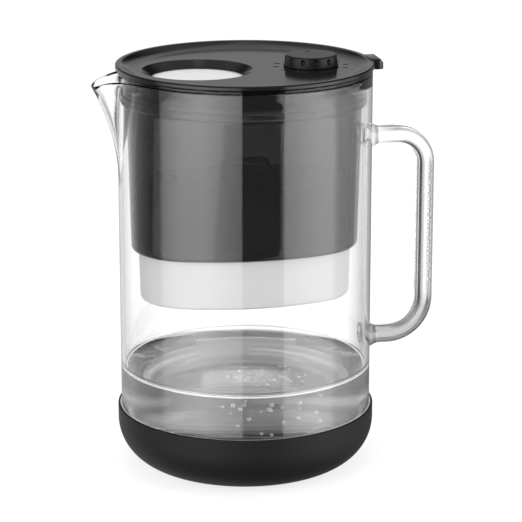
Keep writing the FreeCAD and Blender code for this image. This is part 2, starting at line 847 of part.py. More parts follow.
def make_pull_loop():
    """The arched loop that the cartridge is pulled out by."""
    body = new_body("filter_pull_loop")
    half, rise, thick = SIZE.loop_half_span, SIZE.loop_rise, SIZE.loop_thick
    bend = rise / 2
    inner_bend = bend - thick / 2
    top = CAP_TOP + rise
    inside = half - thick
    sketch = draw(new_sketch(body, "XZ_Plane"), [
        (inside, CAP_TOP),
        (half, CAP_TOP),
        (half, top - bend, bend, LEFT),
        (half - bend, top),
        (bend - half, top, bend, LEFT),
        (-half, top - bend),
        (-half, CAP_TOP),
        (-inside, CAP_TOP),
        (-inside, top - thick - inner_bend, inner_bend, RIGHT),
        (inner_bend - inside, top - thick),
        (inside - inner_bend, top - thick, inner_bend, RIGHT),
        (inside, top - thick - inner_bend),
    ])
    pad(body, sketch, SIZE.loop_width, centred=True)
    return body


def make_filter_inside():
    """The gasket, housing, screens and beds of the cartridge."""
    screen, resin_top = SIZE.screen_thick, CUP_FLOOR_TOP + SIZE.screen_thick + SIZE.resin_depth
    carbon_low = resin_top + SIZE.divider_thick
    carbon_top = HOUSING_TOP - screen
    gasket_inside = CUP_TOP_OVAL.grown(SIZE.gasket_fit)
    return [
        oval_ring("filter_gasket", CUP_FLANGE_OVAL, gasket_inside, HOPPER_FLOOR_TOP, GASKET_TOP),
        oval_ring("filter_housing", HOUSING_OVAL, HOUSING_INSIDE_OVAL, CUP_TOP, HOUSING_TOP),
        oval_slab("outlet_screen", MEDIA_OVAL, CUP_FLOOR_TOP, CUP_FLOOR_TOP + screen),
        oval_slab("resin_bed", MEDIA_OVAL, CUP_FLOOR_TOP + screen, resin_top),
        oval_slab("bed_divider", MEDIA_OVAL, resin_top, carbon_low),
        oval_slab("carbon_bed", MEDIA_OVAL, carbon_low, carbon_top),
        oval_slab("inlet_screen", MEDIA_OVAL, carbon_top, HOUSING_TOP),
    ]


def make_lid_plate():
    """The lid: dished top, skirt, fill funnel, thumb tab, hinge lugs and dial ticks."""
    body = new_body("lid_plate")
    radius, parting, lip = LID_RADIUS, SIZE.lid_parting, SIZE.lid_crest_round
    depth, width = SIZE.dish_depth, SIZE.dish_width
    dish = (width * width + depth * depth) / (2 * depth)
    skirt_inside = SKIRT_OUTSIDE - SIZE.skirt_wall
    revolve(body, draw(new_sketch(body, "XZ_Plane"), [
        (NIL, LID_UNDER),
        (skirt_inside, LID_UNDER),
        (skirt_inside, SKIRT_LOW),
        (SKIRT_OUTSIDE, SKIRT_LOW),
        (SKIRT_OUTSIDE, FLANGE_TOP),
        (radius - parting, FLANGE_TOP),
        (radius, FLANGE_TOP + parting),
        (radius, LID_CREST - lip, lip, LEFT),
        (radius - lip, LID_CREST),
        (LID_CREST_INSIDE, LID_CREST, dish, RIGHT),
        (LID_FLAT_RADIUS, LID_FLAT),
        (NIL, LID_FLAT),
    ]))
    cut_lid_seal_groove(body)
    add_fill_funnel(body)
    add_thumb_tab(body)
    add_hinge_lugs(body)
    dial_hole = draw_circle(
        new_sketch(body, "XY_Plane", east=DIAL_EAST, lift=LID_FLAT + SIZE.overrun),
        SIZE.stem_radius + SIZE.stem_play,
    )
    pocket(body, dial_hole, SIZE.plate_thick + 2 * SIZE.overrun)
    tick_sketch = new_sketch(body, "XY_Plane", east=DIAL_EAST, lift=LID_FLAT)
    half_tick = SIZE.tick_width / 2
    draw(tick_sketch, box_corners(TICK_INNER, -half_tick, TICK_OUTER, half_tick))
    tick = pad(body, tick_sketch, SIZE.tick_rise)
    repeat_round(body, tick, tick_sketch, SIZE.notch_count)
    return body


def cut_lid_seal_groove(body):
    """The groove round the skirt for the lid's seal."""
    groove(body, draw(
        new_sketch(body, "XZ_Plane"),
        box_corners(LID_SEAL_SEAT, LID_SEAL_LOW, COLLAR_INSIDE, LID_SEAL_TOP),
    ))


def add_fill_funnel(body):
    """The round funnel that water is poured into."""
    outside = HOLE_LOW_RADIUS + SIZE.hole_rim
    revolve(body, draw(
        new_sketch(body, "XZ_Plane", east=HOLE_EAST),
        box_corners(NIL, HOLE_LOW, outside, LID_FLAT),
    ))
    groove(body, draw(new_sketch(body, "XZ_Plane", east=HOLE_EAST), [
        (NIL, HOLE_LOW - SIZE.overrun),
        (HOLE_LOW_RADIUS, HOLE_LOW - SIZE.overrun),
        (HOLE_LOW_RADIUS, HOLE_LOW + SIZE.hole_land),
        (HOLE_TOP_RADIUS, LID_FLAT),
        (HOLE_TOP_RADIUS, LID_FLAT + SIZE.overrun),
        (NIL, LID_FLAT + SIZE.overrun),
    ]))


def add_thumb_tab(body):
    """The thumb tab over the handle, with a lip that turns down past the jug's rim."""
    end = LID_RADIUS + SIZE.tab_reach
    top = LID_CREST + SIZE.tab_rise
    low = top - SIZE.tab_drop
    lip_inside = end - SIZE.tab_lip
    sketch = draw(new_sketch(body, "XZ_Plane"), [
        (LID_CREST_INSIDE, FLANGE_TOP),
        (lip_inside, FLANGE_TOP),
        (lip_inside, low),
        (end, low),
        (end, top - SIZE.tab_slope_drop),
        (end - SIZE.tab_slope_run, top),
        (LID_CREST_INSIDE + SIZE.tab_rise, top),
        (LID_CREST_INSIDE, LID_CREST),
    ])
    pad(body, sketch, SIZE.tab_width, centred=True)
    half_width, corner = SIZE.tab_width / 2, SIZE.tab_corner
    trim = new_sketch(body, "XY_Plane", lift=top + SIZE.overrun)
    for side, turn in ((1, LEFT), (-1, RIGHT)):
        draw(trim, [
            (end, side * (half_width - corner), corner, turn),
            (end - corner, side * half_width),
            (end - corner, side * (half_width + corner)),
            (end + corner, side * (half_width + corner)),
            (end + corner, side * (half_width - corner)),
        ])
    pocket(body, trim, SIZE.tab_drop + 2 * SIZE.overrun)


def add_hinge_lugs(body):
    """The two lugs that hold the flap's pin."""
    reach = SIZE.pin_radius + SIZE.lug_margin
    outline = [
        (HINGE_EAST - reach, LID_UNDER),
        (HINGE_EAST - reach, HINGE_LEVEL, reach, LEFT),
        (HINGE_EAST, HINGE_LEVEL - reach, reach, LEFT),
        (HINGE_EAST + reach, HINGE_LEVEL),
        (HINGE_EAST + reach, LID_UNDER),
    ]
    pad(body, draw(new_sketch(body, "XZ_Plane"), outline), 2 * LUG_OUTER, centred=True)
    pocket(body, draw(new_sketch(body, "XZ_Plane"), outline), 2 * LUG_INNER, centred=True)
    bore = draw_circle(new_sketch(body, "XZ_Plane"), SIZE.pin_radius, HINGE_EAST, HINGE_LEVEL)
    pocket(body, bore, 2 * (LUG_OUTER + SIZE.overrun), centred=True)


def make_lid_seal():
    """The seal that keeps the lid in the collar."""
    lip = COLLAR_INSIDE - SIZE.seal_gap
    return turned_ring("lid_seal_ring", LID_SEAL_SEAT, lip, LID_SEAL_LOW, LID_SEAL_TOP)


def make_fill_flap():
    """The white flap that closes the fill hole from below."""
    body = new_body("fill_flap")
    disc = draw_circle(new_sketch(body, "XY_Plane", east=HOLE_EAST, lift=FLAP_LOW), FLAP_RADIUS)
    pad(body, disc, SIZE.flap_thick)
    crown_top = FLAP_FLANGE_TOP + SIZE.flap_crown
    crown = new_sketch(body, "XY_Plane", east=HOLE_EAST, lift=FLAP_FLANGE_TOP)
    pad(body, draw_circle(crown, FLAP_SEAL_INSIDE), crown_top - FLAP_FLANGE_TOP)
    tongue_west = HOLE_EAST + HOLE_LOW_RADIUS - SIZE.flap_overlap
    outer, inner = SIZE.knuckle_outer, SIZE.knuckle_inner
    tongue = draw(
        new_sketch(body, "XY_Plane", lift=FLAP_LOW),
        box_corners(tongue_west, -outer, HINGE_EAST, outer),
    )
    pad(body, tongue, SIZE.flap_thick)
    knuckle = draw_circle(new_sketch(body, "XZ_Plane"), KNUCKLE_RADIUS, HINGE_EAST, HINGE_LEVEL)
    pad(body, knuckle, 2 * outer, centred=True)
    room = draw(
        new_sketch(body, "XY_Plane", lift=LID_FLAT),
        box_corners(HINGE_EAST - KNUCKLE_RADIUS, -inner, HINGE_EAST + KNUCKLE_RADIUS, inner),
    )
    pocket(body, room, LID_FLAT - FLAP_LOW + KNUCKLE_RADIUS)
    bore_radius = SIZE.pin_radius + SIZE.pin_play
    bore = draw_circle(new_sketch(body, "XZ_Plane"), bore_radius, HINGE_EAST, HINGE_LEVEL)
    pocket(body, bore, 2 * (outer + SIZE.overrun), centred=True)
    return body


def make_flap_seal():
    """The soft ring on the flap's edge."""
    top = FLAP_FLANGE_TOP + SIZE.flap_seal_thick
    return turned_ring("flap_seal", FLAP_SEAL_INSIDE, FLAP_RADIUS, FLAP_FLANGE_TOP, top, HOLE_EAST)


def make_hinge_pin():
    """The steel pin of the flap's hinge."""
    body = new_body("flap_hinge_pin")
    section = draw_circle(new_sketch(body, "XZ_Plane"), SIZE.pin_radius, HINGE_EAST, HINGE_LEVEL)
    pad(body, section, 2 * LUG_OUTER, centred=True)
    return body


def make_flap_spring():
    """The torsion spring round the pin, with one leg under the flap and one under the lid."""
    body = new_body("flap_spring")
    wire, radius, tilt = SIZE.spring_wire / 2, SPRING_RADIUS, SIZE.spring_tilt
    turns = SIZE.spring_turns + tilt / FULL_TURN
    side = SIZE.spring_pitch * turns / 2
    section = draw_circle(
        new_sketch(body, "YZ_Plane", -side, HINGE_LEVEL, HINGE_EAST), wire, NIL, -radius)
    DOCUMENT.recompute()
    coil = body.newObject("PartDesign::AdditiveHelix", "flap_spring_coil")
    coil.Profile = section
    coil.ReferenceAxis = (section, ["H_Axis"])
    coil.Mode = "pitch-turns-angle"
    coil.LeftHanded = True
    coil.setExpression("Pitch", SIZE.spring_pitch.text)
    coil.setExpression("Turns", turns.text)
    DOCUMENT.recompute()
    low_leg = new_sketch(body, "YZ_Plane", -side, HINGE_LEVEL - radius, HINGE_EAST)
    flap_leg = pad(body, draw_circle(low_leg, wire), SIZE.spring_leg)
    flap_leg.Reversed = True
    DOCUMENT.recompute()
    end_level = HINGE_LEVEL - radius * cosine(tilt)
    end_east = HINGE_EAST + radius * sine(tilt)
    tilted = new_sketch(body, "YZ_Plane", side, end_level, end_east)
    tilted.AttachmentOffset.Rotation = FreeCAD.Rotation(FreeCAD.Vector(1, 0, 0), -tilt.value)
    tilted.setExpression("AttachmentOffset.Rotation.Angle", f"0 - {tilt.text}")
    rise = LID_UNDER - SIZE.spring_gap - wire * cosine(tilt) - end_level
    pad(body, draw_circle(tilted, wire), rise / sine(tilt))
    DOCUMENT.recompute()
    return body


def make_dial_knob():
    """The date dial: grip, stem and ring groove."""
    body = new_body("dial_knob")
    radius, step, base = SIZE.dial_radius, SIZE.dial_step, DIAL_LOW + SIZE.dial_base
    grip, lip = radius - step, SIZE.dial_round
    grip_top = grip - SIZE.dial_draft
    ring_inside = SIZE.o_ring_radius - SIZE.o_ring_wire - SIZE.o_ring_play
    ring_outside = SIZE.o_ring_radius + SIZE.o_ring_wire + SIZE.o_ring_play
    ring_roof = DIAL_LOW + 2 * SIZE.o_ring_wire
    stem = SIZE.stem_radius
    revolve(body, draw(new_sketch(body, "XZ_Plane", east=DIAL_EAST), [
        (NIL, STEM_LOW),
        (stem, STEM_LOW),
        (stem, RING_LOW),
        (STEM_WAIST, RING_LOW),
        (STEM_WAIST, RING_TOP),
        (stem, RING_TOP),
        (stem, DIAL_LOW),
        (ring_inside, DIAL_LOW),
        (ring_inside, ring_roof),
        (ring_outside, ring_roof),
        (ring_outside, DIAL_LOW),
        (radius, DIAL_LOW),
        (radius, base),
        (grip, base),
        (grip_top, DIAL_TOP - lip, lip, LEFT),
        (grip_top - lip, DIAL_TOP),
        (NIL, DIAL_TOP),
    ]))
    pointer_sketch = new_sketch(body, "XY_Plane", east=DIAL_EAST, lift=DIAL_TOP)
    half_pointer, far = SIZE.pointer_width / 2, grip_top - lip - SIZE.pointer_margin
    draw(pointer_sketch, box_corners(-half_pointer, far - SIZE.pointer_length, half_pointer, far))
    pad(body, pointer_sketch, SIZE.pointer_rise)
    notch_sketch = new_sketch(body, "XY_Plane", east=DIAL_EAST, lift=DIAL_TOP - SIZE.notch_top)
    notch = pocket(body, draw_circle(notch_sketch, SIZE.notch_radius, grip, NIL), SIZE.notch_height)
    repeat_round(body, notch, notch_sketch, SIZE.notch_count)
    return body


def make_dial_rings():
    """The ring, washer and friction ring that hold the dial in the lid."""
    place, stem, wire = DIAL_EAST, SIZE.stem_radius, SIZE.o_ring_wire
    washer_inside = stem + SIZE.stem_play
    rubber = new_body("dial_o_ring")
    level = DIAL_LOW + wire
    section = new_sketch(rubber, "XZ_Plane", east=place)
    revolve(rubber, draw_circle(section, wire, SIZE.o_ring_radius, level))
    return [
        turned_ring("dial_retaining_ring", STEM_WAIST, SIZE.ring_radius, RING_LOW, RING_TOP, place),
        turned_ring("dial_washer", washer_inside, SIZE.washer_radius, RING_TOP, WASHER_TOP, place),
        rubber,
    ]


def make_all():
    """Every sub-part of the pitcher."""
    return [
        make_glass_jug(),
        make_glass_handle(),
        make_silicone_boot(),
        make_hopper_shell(),
        make_hopper_seal(),
        make_filter_cup(),
        make_filter_cap(),
        make_pull_loop(),
        *make_filter_inside(),
        make_lid_plate(),
        make_lid_seal(),
        make_fill_flap(),
        make_flap_seal(),
        make_hinge_pin(),
        make_flap_spring(),
        make_dial_knob(),
        *make_dial_rings(),
    ]


def check_and_write(bodies):
    """Refuse failed features and bad shapes, then write one file for each sub-part."""
    DOCUMENT.recompute()
    for item in DOCUMENT.Objects:
        if "Invalid" in item.State or "Error" in item.State:
            raise RuntimeError(f"{item.Label} failed: {item.State}")
    for body in bodies:
        shape = body.Shape
        if shape.isNull() or not shape.isValid() or not shape.Solids:
            raise RuntimeError(f"{body.Label} has no valid solid")
    os.makedirs("parts", exist_ok=True)
    for body in bodies:
        body.Shape.exportStep(os.path.join("parts", f"{body.Label}.step"))
        print(body.Label, len(body.Shape.Solids), round(body.Shape.Volume), body.Shape.BoundBox)


check_and_write(make_all())
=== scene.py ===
"""Looks of the glass water filter pitcher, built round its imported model.

Metres, in the model's own frame: the spout points along -X, the handle along +X, +Z is up.
"""
import math

import bmesh
import bpy
import numpy as np
from bpy.props import FloatProperty, FloatVectorProperty, IntProperty, PointerProperty
from bpy.types import Operator, Panel, PropertyGroup
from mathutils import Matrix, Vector


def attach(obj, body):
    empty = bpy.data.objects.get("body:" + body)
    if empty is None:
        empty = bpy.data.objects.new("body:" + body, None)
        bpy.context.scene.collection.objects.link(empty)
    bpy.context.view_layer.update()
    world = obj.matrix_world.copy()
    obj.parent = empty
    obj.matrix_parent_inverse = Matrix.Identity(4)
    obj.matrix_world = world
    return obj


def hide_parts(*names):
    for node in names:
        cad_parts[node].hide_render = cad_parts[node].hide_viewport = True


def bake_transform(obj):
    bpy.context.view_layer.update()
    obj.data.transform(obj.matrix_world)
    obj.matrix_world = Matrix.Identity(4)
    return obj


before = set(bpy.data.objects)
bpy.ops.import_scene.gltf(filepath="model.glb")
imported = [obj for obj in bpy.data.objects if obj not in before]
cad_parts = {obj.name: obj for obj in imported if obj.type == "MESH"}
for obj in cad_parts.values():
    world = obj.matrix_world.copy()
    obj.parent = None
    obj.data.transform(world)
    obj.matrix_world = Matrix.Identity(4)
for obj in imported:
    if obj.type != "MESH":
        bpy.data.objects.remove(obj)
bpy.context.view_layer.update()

bl_info = {
    "name": "Glass Water Filter Pitcher",
    "version": (1, 0, 0),
    "blender": (4, 5, 0),
    "location": "View3D > Sidebar > Pitcher",
    "description": "Builds the glass, plastic, silicone and water of a filter pitcher on its model",
    "category": "Object",
}

MM = 0.001
SEGMENTS = 192
FINE_SEGMENTS = 256


def length(label, text, millimetres):
    """A length that a user may change, given in millimetres."""
    return FloatProperty(name=label, description=text, default=millimetres * MM, unit="LENGTH", precision=5)


def count(label, text, number, least):
    """A number of like things that a user may change."""
    return IntProperty(name=label, description=text, default=number, min=least)


def colour(label, text, value):
    """A colour that a user may change."""
    return FloatVectorProperty(
        name=label, description=text, default=value, subtype="COLOR", size=4, min=0.0, max=1.0)


class PITCHER_PG_sizes(PropertyGroup):
    """Sizes of the pitcher."""

    glass_radius: length("Glass radius", "Outside radius of the jug", 72.0)
    glass_wall: length("Glass wall", "Thickness of the jug's wall", 2.5)
    rim_level: length("Rim level", "Height of the jug's rim", 229.4)
    spout_height: length("Spout height", "Height of the pulled spout below the rim", 64.4)
    spout_ridge: length("Spout ridge", "Radius of the spout's ridge, seen from the side", 120.0)
    spout_nose: length("Spout nose", "Radius of the spout's nose, seen from above", 10.0)
    spout_flank: length("Spout flank", "Radius of the spout's hollow flanks, seen from above", 30.0)
    handle_stand: length("Handle stand-off", "From the jug's wall to the middle of the grip", 33.6)
    handle_width: length("Handle width", "Width of the glass bar across the hand", 12.0)
    handle_thickness: length("Handle thickness", "Thickness of the glass bar", 9.4)
    boot_height: length("Boot height", "Height of the silicone boot", 35.0)
    water_level: length("Water level", "Height of the filtered water", 57.6)
    hopper_wall: length("Hopper wall", "Thickness of the hopper's wall", 2.2)
    dial_radius: length("Dial radius", "Radius of the date dial", 15.5)
    bubble_count: count("Bubbles", "Air bubbles in the water", 34, 0)
    notch_count: count("Dial notches", "Notches and ticks of the dial", 12, 3)


class PITCHER_PG_colours(PropertyGroup):
    """Colours of the pitcher."""

    glass: colour("Glass", "Tint of the clear glass", (0.99, 0.99, 0.99, 1.0))
    water: colour("Water", "Tint of the water", (0.985, 0.985, 0.985, 1.0))
    smoke: colour("Smoke plastic", "Tint that deepens in the hopper's wall", (0.06, 0.06, 0.07, 1.0))
    black: colour("Black plastic", "Lid and dial", (0.009, 0.009, 0.0095, 1.0))
    white: colour("White plastic", "Filter cartridge", (0.9, 0.9, 0.895, 1.0))
    flap: colour("Flap", "Fill flap", (0.8, 0.8, 0.8, 1.0))
    silicone: colour("Silicone", "Boot", (0.011, 0.011, 0.012, 1.0))
    # Painted light: a pale colour on the boot's inside face, which the boot material also makes glow
    boot_inside_painted_light: colour("Boot inside", "Face of the boot against the glass", (0.8, 0.8, 0.8, 1.0))
    seal: colour("Dark seal", "Hopper, lid and dial seals", (0.004, 0.004, 0.004, 1.0))
    pale_seal: colour("Pale seal", "Flap and cartridge seals", (0.78, 0.78, 0.77, 1.0))
    steel: colour("Steel", "Pin, spring and retaining ring", (0.60, 0.60, 0.61, 1.0))
    felt: colour("Felt", "Screens of the cartridge", (0.82, 0.81, 0.78, 1.0))
    resin: colour("Resin", "Amber beads", (0.62, 0.40, 0.14, 1.0))
    carbon: colour("Carbon", "Black grains", (0.022, 0.022, 0.022, 1.0))
    nylon: colour("Nylon", "Dial washer", (0.72, 0.71, 0.68, 1.0))


# Shapes in the plane


def soft_outline(corners, closed, steps=5):
    """Points along an outline whose corners (x, y, radius) are rounded."""
    points = []
    count = len(corners)
    for index, (x, y, radius) in enumerate(corners):
        here = np.array((x, y), float)
        at_end = not closed and index in (0, count - 1)
        if radius <= 0 or at_end:
            points.append(tuple(here))
            continue
        before = np.array(corners[index - 1][:2], float) - here
        after = np.array(corners[(index + 1) % count][:2], float) - here
        room = min(np.linalg.norm(before), np.linalg.norm(after)) * 0.49
        before /= np.linalg.norm(before)
        after /= np.linalg.norm(after)
        half = math.acos(max(-1.0, min(1.0, float(before @ after)))) / 2
        reach = min(radius / math.tan(half), room)
        bisector = before + after
        bisector /= np.linalg.norm(bisector)
        centre = here + bisector * (reach / math.cos(half))
        start = here + before * reach - centre
        stop = here + after * reach - centre
        sweep = math.pi - 2 * half
        for step in range(steps + 1):
            share = step / steps
            mix = (start * math.sin((1 - share) * sweep) + stop * math.sin(share * sweep)) / math.sin(sweep)
            points.append(tuple(centre + mix))
    return points


def arc_points(centre, radius, first, last, steps):
    """Points on an arc, angles in degrees."""
    angles = np.radians(np.linspace(first, last, steps + 1))
    return [(centre[0] + radius * math.cos(a), centre[1] + radius * math.sin(a)) for a in angles]


def box_outline(west, east, south, north):
    """Corners of a rectangle, counterclockwise."""
    return [(west, south), (east, south), (east, north), (west, north)]


def smooth(share):
    """A share from 0 to 1 that starts and ends gently."""
    return share ** 2 * (3 - 2 * share)


def turn_angles(count=SEGMENTS):
    """Even angles round the axis."""
    return np.arange(count) * (2 * math.pi / count)


class Oval:
    """A four-arc oval: half length, half width and the radius of its long sides."""

    def __init__(self, half_length, half_width, side):
        self.half_length = half_length
        self.half_width = half_width
        self.side = side

    def grown(self, amount):
        """The oval offset outwards."""
        return Oval(self.half_length + amount, self.half_width + amount, self.side + amount)

    def mixed(self, other, share):
        """The oval part of the way to another one."""
        return Oval(
            self.half_length + (other.half_length - self.half_length) * share,
            self.half_width + (other.half_width - self.half_width) * share,
            self.side + (other.side - self.side) * share)

    def reach(self, angles):
        """Distance from the middle to the oval at each angle."""
        long, wide, side = self.half_length, self.half_width, self.side
        end = (2 * side * wide - long ** 2 - wide ** 2) / (2 * (side - long))
        drop = side - wide
        tangent = math.atan2(side * drop / (side - end) - drop, side * (long - end) / (side - end))
        along, across = np.abs(np.cos(angles)), np.abs(np.sin(angles))
        shift = long - end
        at_end = shift * along + np.sqrt(np.maximum(end ** 2 - (shift * across) ** 2, 0))
        at_side = np.sqrt(np.maximum(side ** 2 - (drop * along) ** 2, 0)) - drop * across
        return np.where(np.arctan2(across, along) < tangent, at_end, at_side)


HOPPER_TOP = Oval(67.0 * MM, 51.99 * MM, 100.0 * MM)
HOPPER_LOW = Oval(65.3 * MM, 40.6 * MM, 129.95 * MM)
CUP_LOW = HOPPER_LOW.grown(-4.95 * MM)
CUP_TOP = CUP_LOW.grown(0.8 * MM)
HOUSING = CUP_TOP.grown(-1.4 * MM)


# Meshes


def ring(reach, angles, level, east=0.0):
    """One closed ring of points round an upright axis."""
    reach = np.broadcast_to(np.asarray(reach, float), angles.shape)
    level = np.broadcast_to(np.asarray(level, float), angles.shape)
    return np.stack([east + reach * np.cos(angles), reach * np.sin(angles), level], axis=1)


def stack_faces(rings, loop=False, first_pole=None, last_pole=None):
    """Vertices and faces through a stack of rings, closed by poles or back to the first ring."""
    rows, count = len(rings), len(rings[0])
    vertices = [tuple(p) for r in rings for p in r]
    faces = []
    for row in range(rows if loop else rows - 1):
        above = (row + 1) % rows
        for i in range(count):
            j = (i + 1) % count
            faces.append((row * count + i, row * count + j, above * count + j, above * count + i))
    if first_pole is not None:
        pole = len(vertices)
        vertices.append(tuple(first_pole))
        faces += [(pole, (i + 1) % count, i) for i in range(count)]
    if last_pole is not None:
        pole, base = len(vertices), (rows - 1) * count
        vertices.append(tuple(last_pole))
        faces += [(pole, base + i, base + (i + 1) % count) for i in range(count)]
    return vertices, faces


def new_object(name, vertices, faces, edges=()):
    """A mesh object at the origin."""
    mesh = bpy.data.meshes.new(name)
    mesh.from_pydata(vertices, list(edges), faces)
    mesh.update()
    item = bpy.data.objects.new(name, mesh)
    bpy.context.scene.collection.objects.link(item)
    return item


def new_path(name, points):
    """A path of edges through points."""
    return new_object(name, points, [], [(i, i + 1) for i in range(len(points) - 1)])


def turned(name, outline, east=0.0, count=SEGMENTS):
    """A closed outline of (radius, level) turned round an upright axis."""
    angles = turn_angles(count)
    vertices, faces = stack_faces([ring(r, angles, z, east) for r, z in outline], loop=True)
    return new_object(name, vertices, faces)


def turned_on_axis(name, outline, east=0.0, count=SEGMENTS):
    """An outline of (radius, level) that starts and ends on the axis, turned round it."""
    angles = turn_angles(count)
    rings = [ring(r, angles, z, east) for r, z in outline[1:-1]]
    first, last = (east, 0.0, outline[0][1]), (east, 0.0, outline[-1][1])
    return new_object(name, *stack_faces(rings, first_pole=first, last_pole=last))


def prism(name, outline, axis, low, high):
    """A flat outline drawn out along an axis, counterclockwise as seen from the axis' far end."""

    def place(point, depth):
        """A point of the outline at a depth along the axis."""
        first, second = point
        return {"X": (depth, first, second), "Y": (second, depth, first), "Z": (first, second, depth)}[axis]

    count = len(outline)
    vertices = [place(p, low) for p in outline] + [place(p, high) for p in outline]
    faces = [tuple(reversed(range(count))), tuple(range(count, 2 * count))]
    faces += [(i, (i + 1) % count, count + (i + 1) % count, count + i) for i in range(count)]
    return new_object(name, vertices, faces)


def remove(item):
    """Delete an object and its mesh."""
    mesh = item.data
    bpy.data.objects.remove(item)
    bpy.data.meshes.remove(mesh)


def bake(item):
    """Turn an object with its modifiers into a plain mesh."""
    bpy.context.view_layer.update()
    graph = bpy.context.evaluated_depsgraph_get()
    mesh = bpy.data.meshes.new_from_object(item.evaluated_get(graph))
    old = item.data
    item.modifiers.clear()
    item.data = mesh
    mesh.name = item.name
    bpy.data.meshes.remove(old)
    return item


def weld(item):
    """Merge doubled points and turn every face outwards."""
    work = bmesh.new()
    work.from_mesh(item.data)
    bmesh.ops.remove_doubles(work, verts=work.verts, dist=1e-6)
    bmesh.ops.recalc_face_normals(work, faces=work.faces)
    work.to_mesh(item.data)
    work.free()
    return item


def join_solids(item, other, operation):
    """Unite with another solid, or cut or keep what it covers."""
    change = item.modifiers.new("join", "BOOLEAN")
    change.operation = operation
    change.solver = "EXACT"
    change.material_mode = "TRANSFER"
    change.object = other
    bake(item)
    remove(other)
    return item


def soften_edges(item, width, angle=40.0, segments=3):
    """Round the sharp edges of a solid."""
    change = item.modifiers.new("soften", "BEVEL")
    change.width = width
    change.segments = segments
    change.limit_method = "ANGLE"
    change.angle_limit = math.radians(angle)
    change.harden_normals = False
    return bake(item)


def shade(item, angle=35.0):
    """Smooth shading, with a crease wherever faces meet at more than an angle."""
    work = bmesh.new()
    work.from_mesh(item.data)
    limit = math.radians(angle)
    for face in work.faces:
        face.smooth = True
    for edge in work.edges:
        edge.smooth = len(edge.link_faces) != 2 or edge.calc_face_angle(0.0) < limit
    work.to_mesh(item.data)
    work.free()
    return item


def finish_piece(item, body, material, nodes=(), angle=35.0):
    """Shade a piece, give it its material and set it on its body."""
    shade(item, angle)
    item.data.materials.clear()
    item.data.materials.append(material)
    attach(item, body)
    if nodes:
        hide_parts(*nodes)
    return item


def dress_node(node, material):
    """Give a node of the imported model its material."""
    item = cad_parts[node]
    item.data.materials.clear()
    item.data.materials.append(material)


# Geometry node trees


class Tree:
    """A node tree under construction."""

    def __init__(self, tree):
        self.tree = tree

    def add(self, kind, values=(), **settings):
        """Add a node, set its properties and its inputs by name or number."""
        node = self.tree.nodes.new(kind)
        for key, value in settings.items():
            setattr(node, key, value)
        for key, value in dict(values).items():
            if isinstance(value, bpy.types.NodeSocket):
                self.tree.links.new(value, node.inputs[key])
            else:
                node.inputs[key].default_value = value
        return node

    def link(self, source, target):
        """Join two sockets."""
        self.tree.links.new(source, target)

    def calc(self, operation, *values):
        """The result of a sum on one to three values."""
        return self.add("ShaderNodeMath", dict(enumerate(values)), operation=operation).outputs[0]

    def fade(self, value, first, last, low=0.0, high=1.0, **settings):
        """A value that runs from low to high while another runs from first to last."""
        return self.add("ShaderNodeMapRange", {
            "Value": value, "From Min": first, "From Max": last, "To Min": low, "To Max": high},
            **settings).outputs[0]

    def toned(self, tint, tone):
        """A colour times a tone."""
        return self.add("ShaderNodeVectorMath", {0: tuple(tint[:3]), 1: tone}, operation="MULTIPLY").outputs[0]


def geometry_tree(name, inputs):
    """A geometry node tree with a geometry input, a material input and named sizes."""
    tree = bpy.data.node_groups.new(name, "GeometryNodeTree")
    face = tree.interface
    face.new_socket("Geometry", in_out="INPUT", socket_type="NodeSocketGeometry")
    for label, kind in inputs:
        face.new_socket(label, in_out="INPUT", socket_type=kind)
    face.new_socket("Material", in_out="INPUT", socket_type="NodeSocketMaterial")
    face.new_socket("Geometry", in_out="OUTPUT", socket_type="NodeSocketGeometry")
    build = Tree(tree)
    return build, build.add("NodeGroupInput"), build.add("NodeGroupOutput")


def close_tree(build, source, given, result):
    """End a tree by realizing its instances and setting the material."""
    real = build.add("GeometryNodeRealizeInstances", {"Geometry": source})
    painted = build.add("GeometryNodeSetMaterial", {
        "Geometry": real.outputs["Geometry"], "Material": given.outputs["Material"]})
    build.link(painted.outputs["Geometry"], result.inputs["Geometry"])
    return build.tree


def make_round_tree():
    """Repeats a shape round an upright axis."""
    build, given, result = geometry_tree("repeat_round", (
        ("Count", "NodeSocketInt"), ("Centre", "NodeSocketVector"), ("First Angle", "NodeSocketFloat")))
    points = build.add("GeometryNodePoints", {
        "Count": given.outputs["Count"], "Position": given.outputs["Centre"]})
    index = build.add("GeometryNodeInputIndex")
    step = build.calc("DIVIDE", 2 * math.pi, given.outputs["Count"])
    angle = build.calc("MULTIPLY_ADD", index.outputs["Index"], step, given.outputs["First Angle"])
    spin = build.add("ShaderNodeCombineXYZ", {"Z": angle})
    turn = build.add("FunctionNodeEulerToRotation", {"Euler": spin.outputs[0]})
    copies = build.add("GeometryNodeInstanceOnPoints", {
        "Points": points.outputs["Points"], "Instance": given.outputs["Geometry"],
        "Rotation": turn.outputs["Rotation"]})
    return close_tree(build, copies.outputs["Instances"], given, result)


def make_row_tree():
    """Repeats a shape along a straight line."""
    build, given, result = geometry_tree("repeat_along", (
        ("Count", "NodeSocketInt"), ("First", "NodeSocketVector"), ("Step", "NodeSocketVector")))
    line = build.add("GeometryNodeMeshLine", {
        "Count": given.outputs["Count"], "Start Location": given.outputs["First"],
        "Offset": given.outputs["Step"]})
    copies = build.add("GeometryNodeInstanceOnPoints", {
        "Points": line.outputs["Mesh"], "Instance": given.outputs["Geometry"]})
    return close_tree(build, copies.outputs["Instances"], given, result)


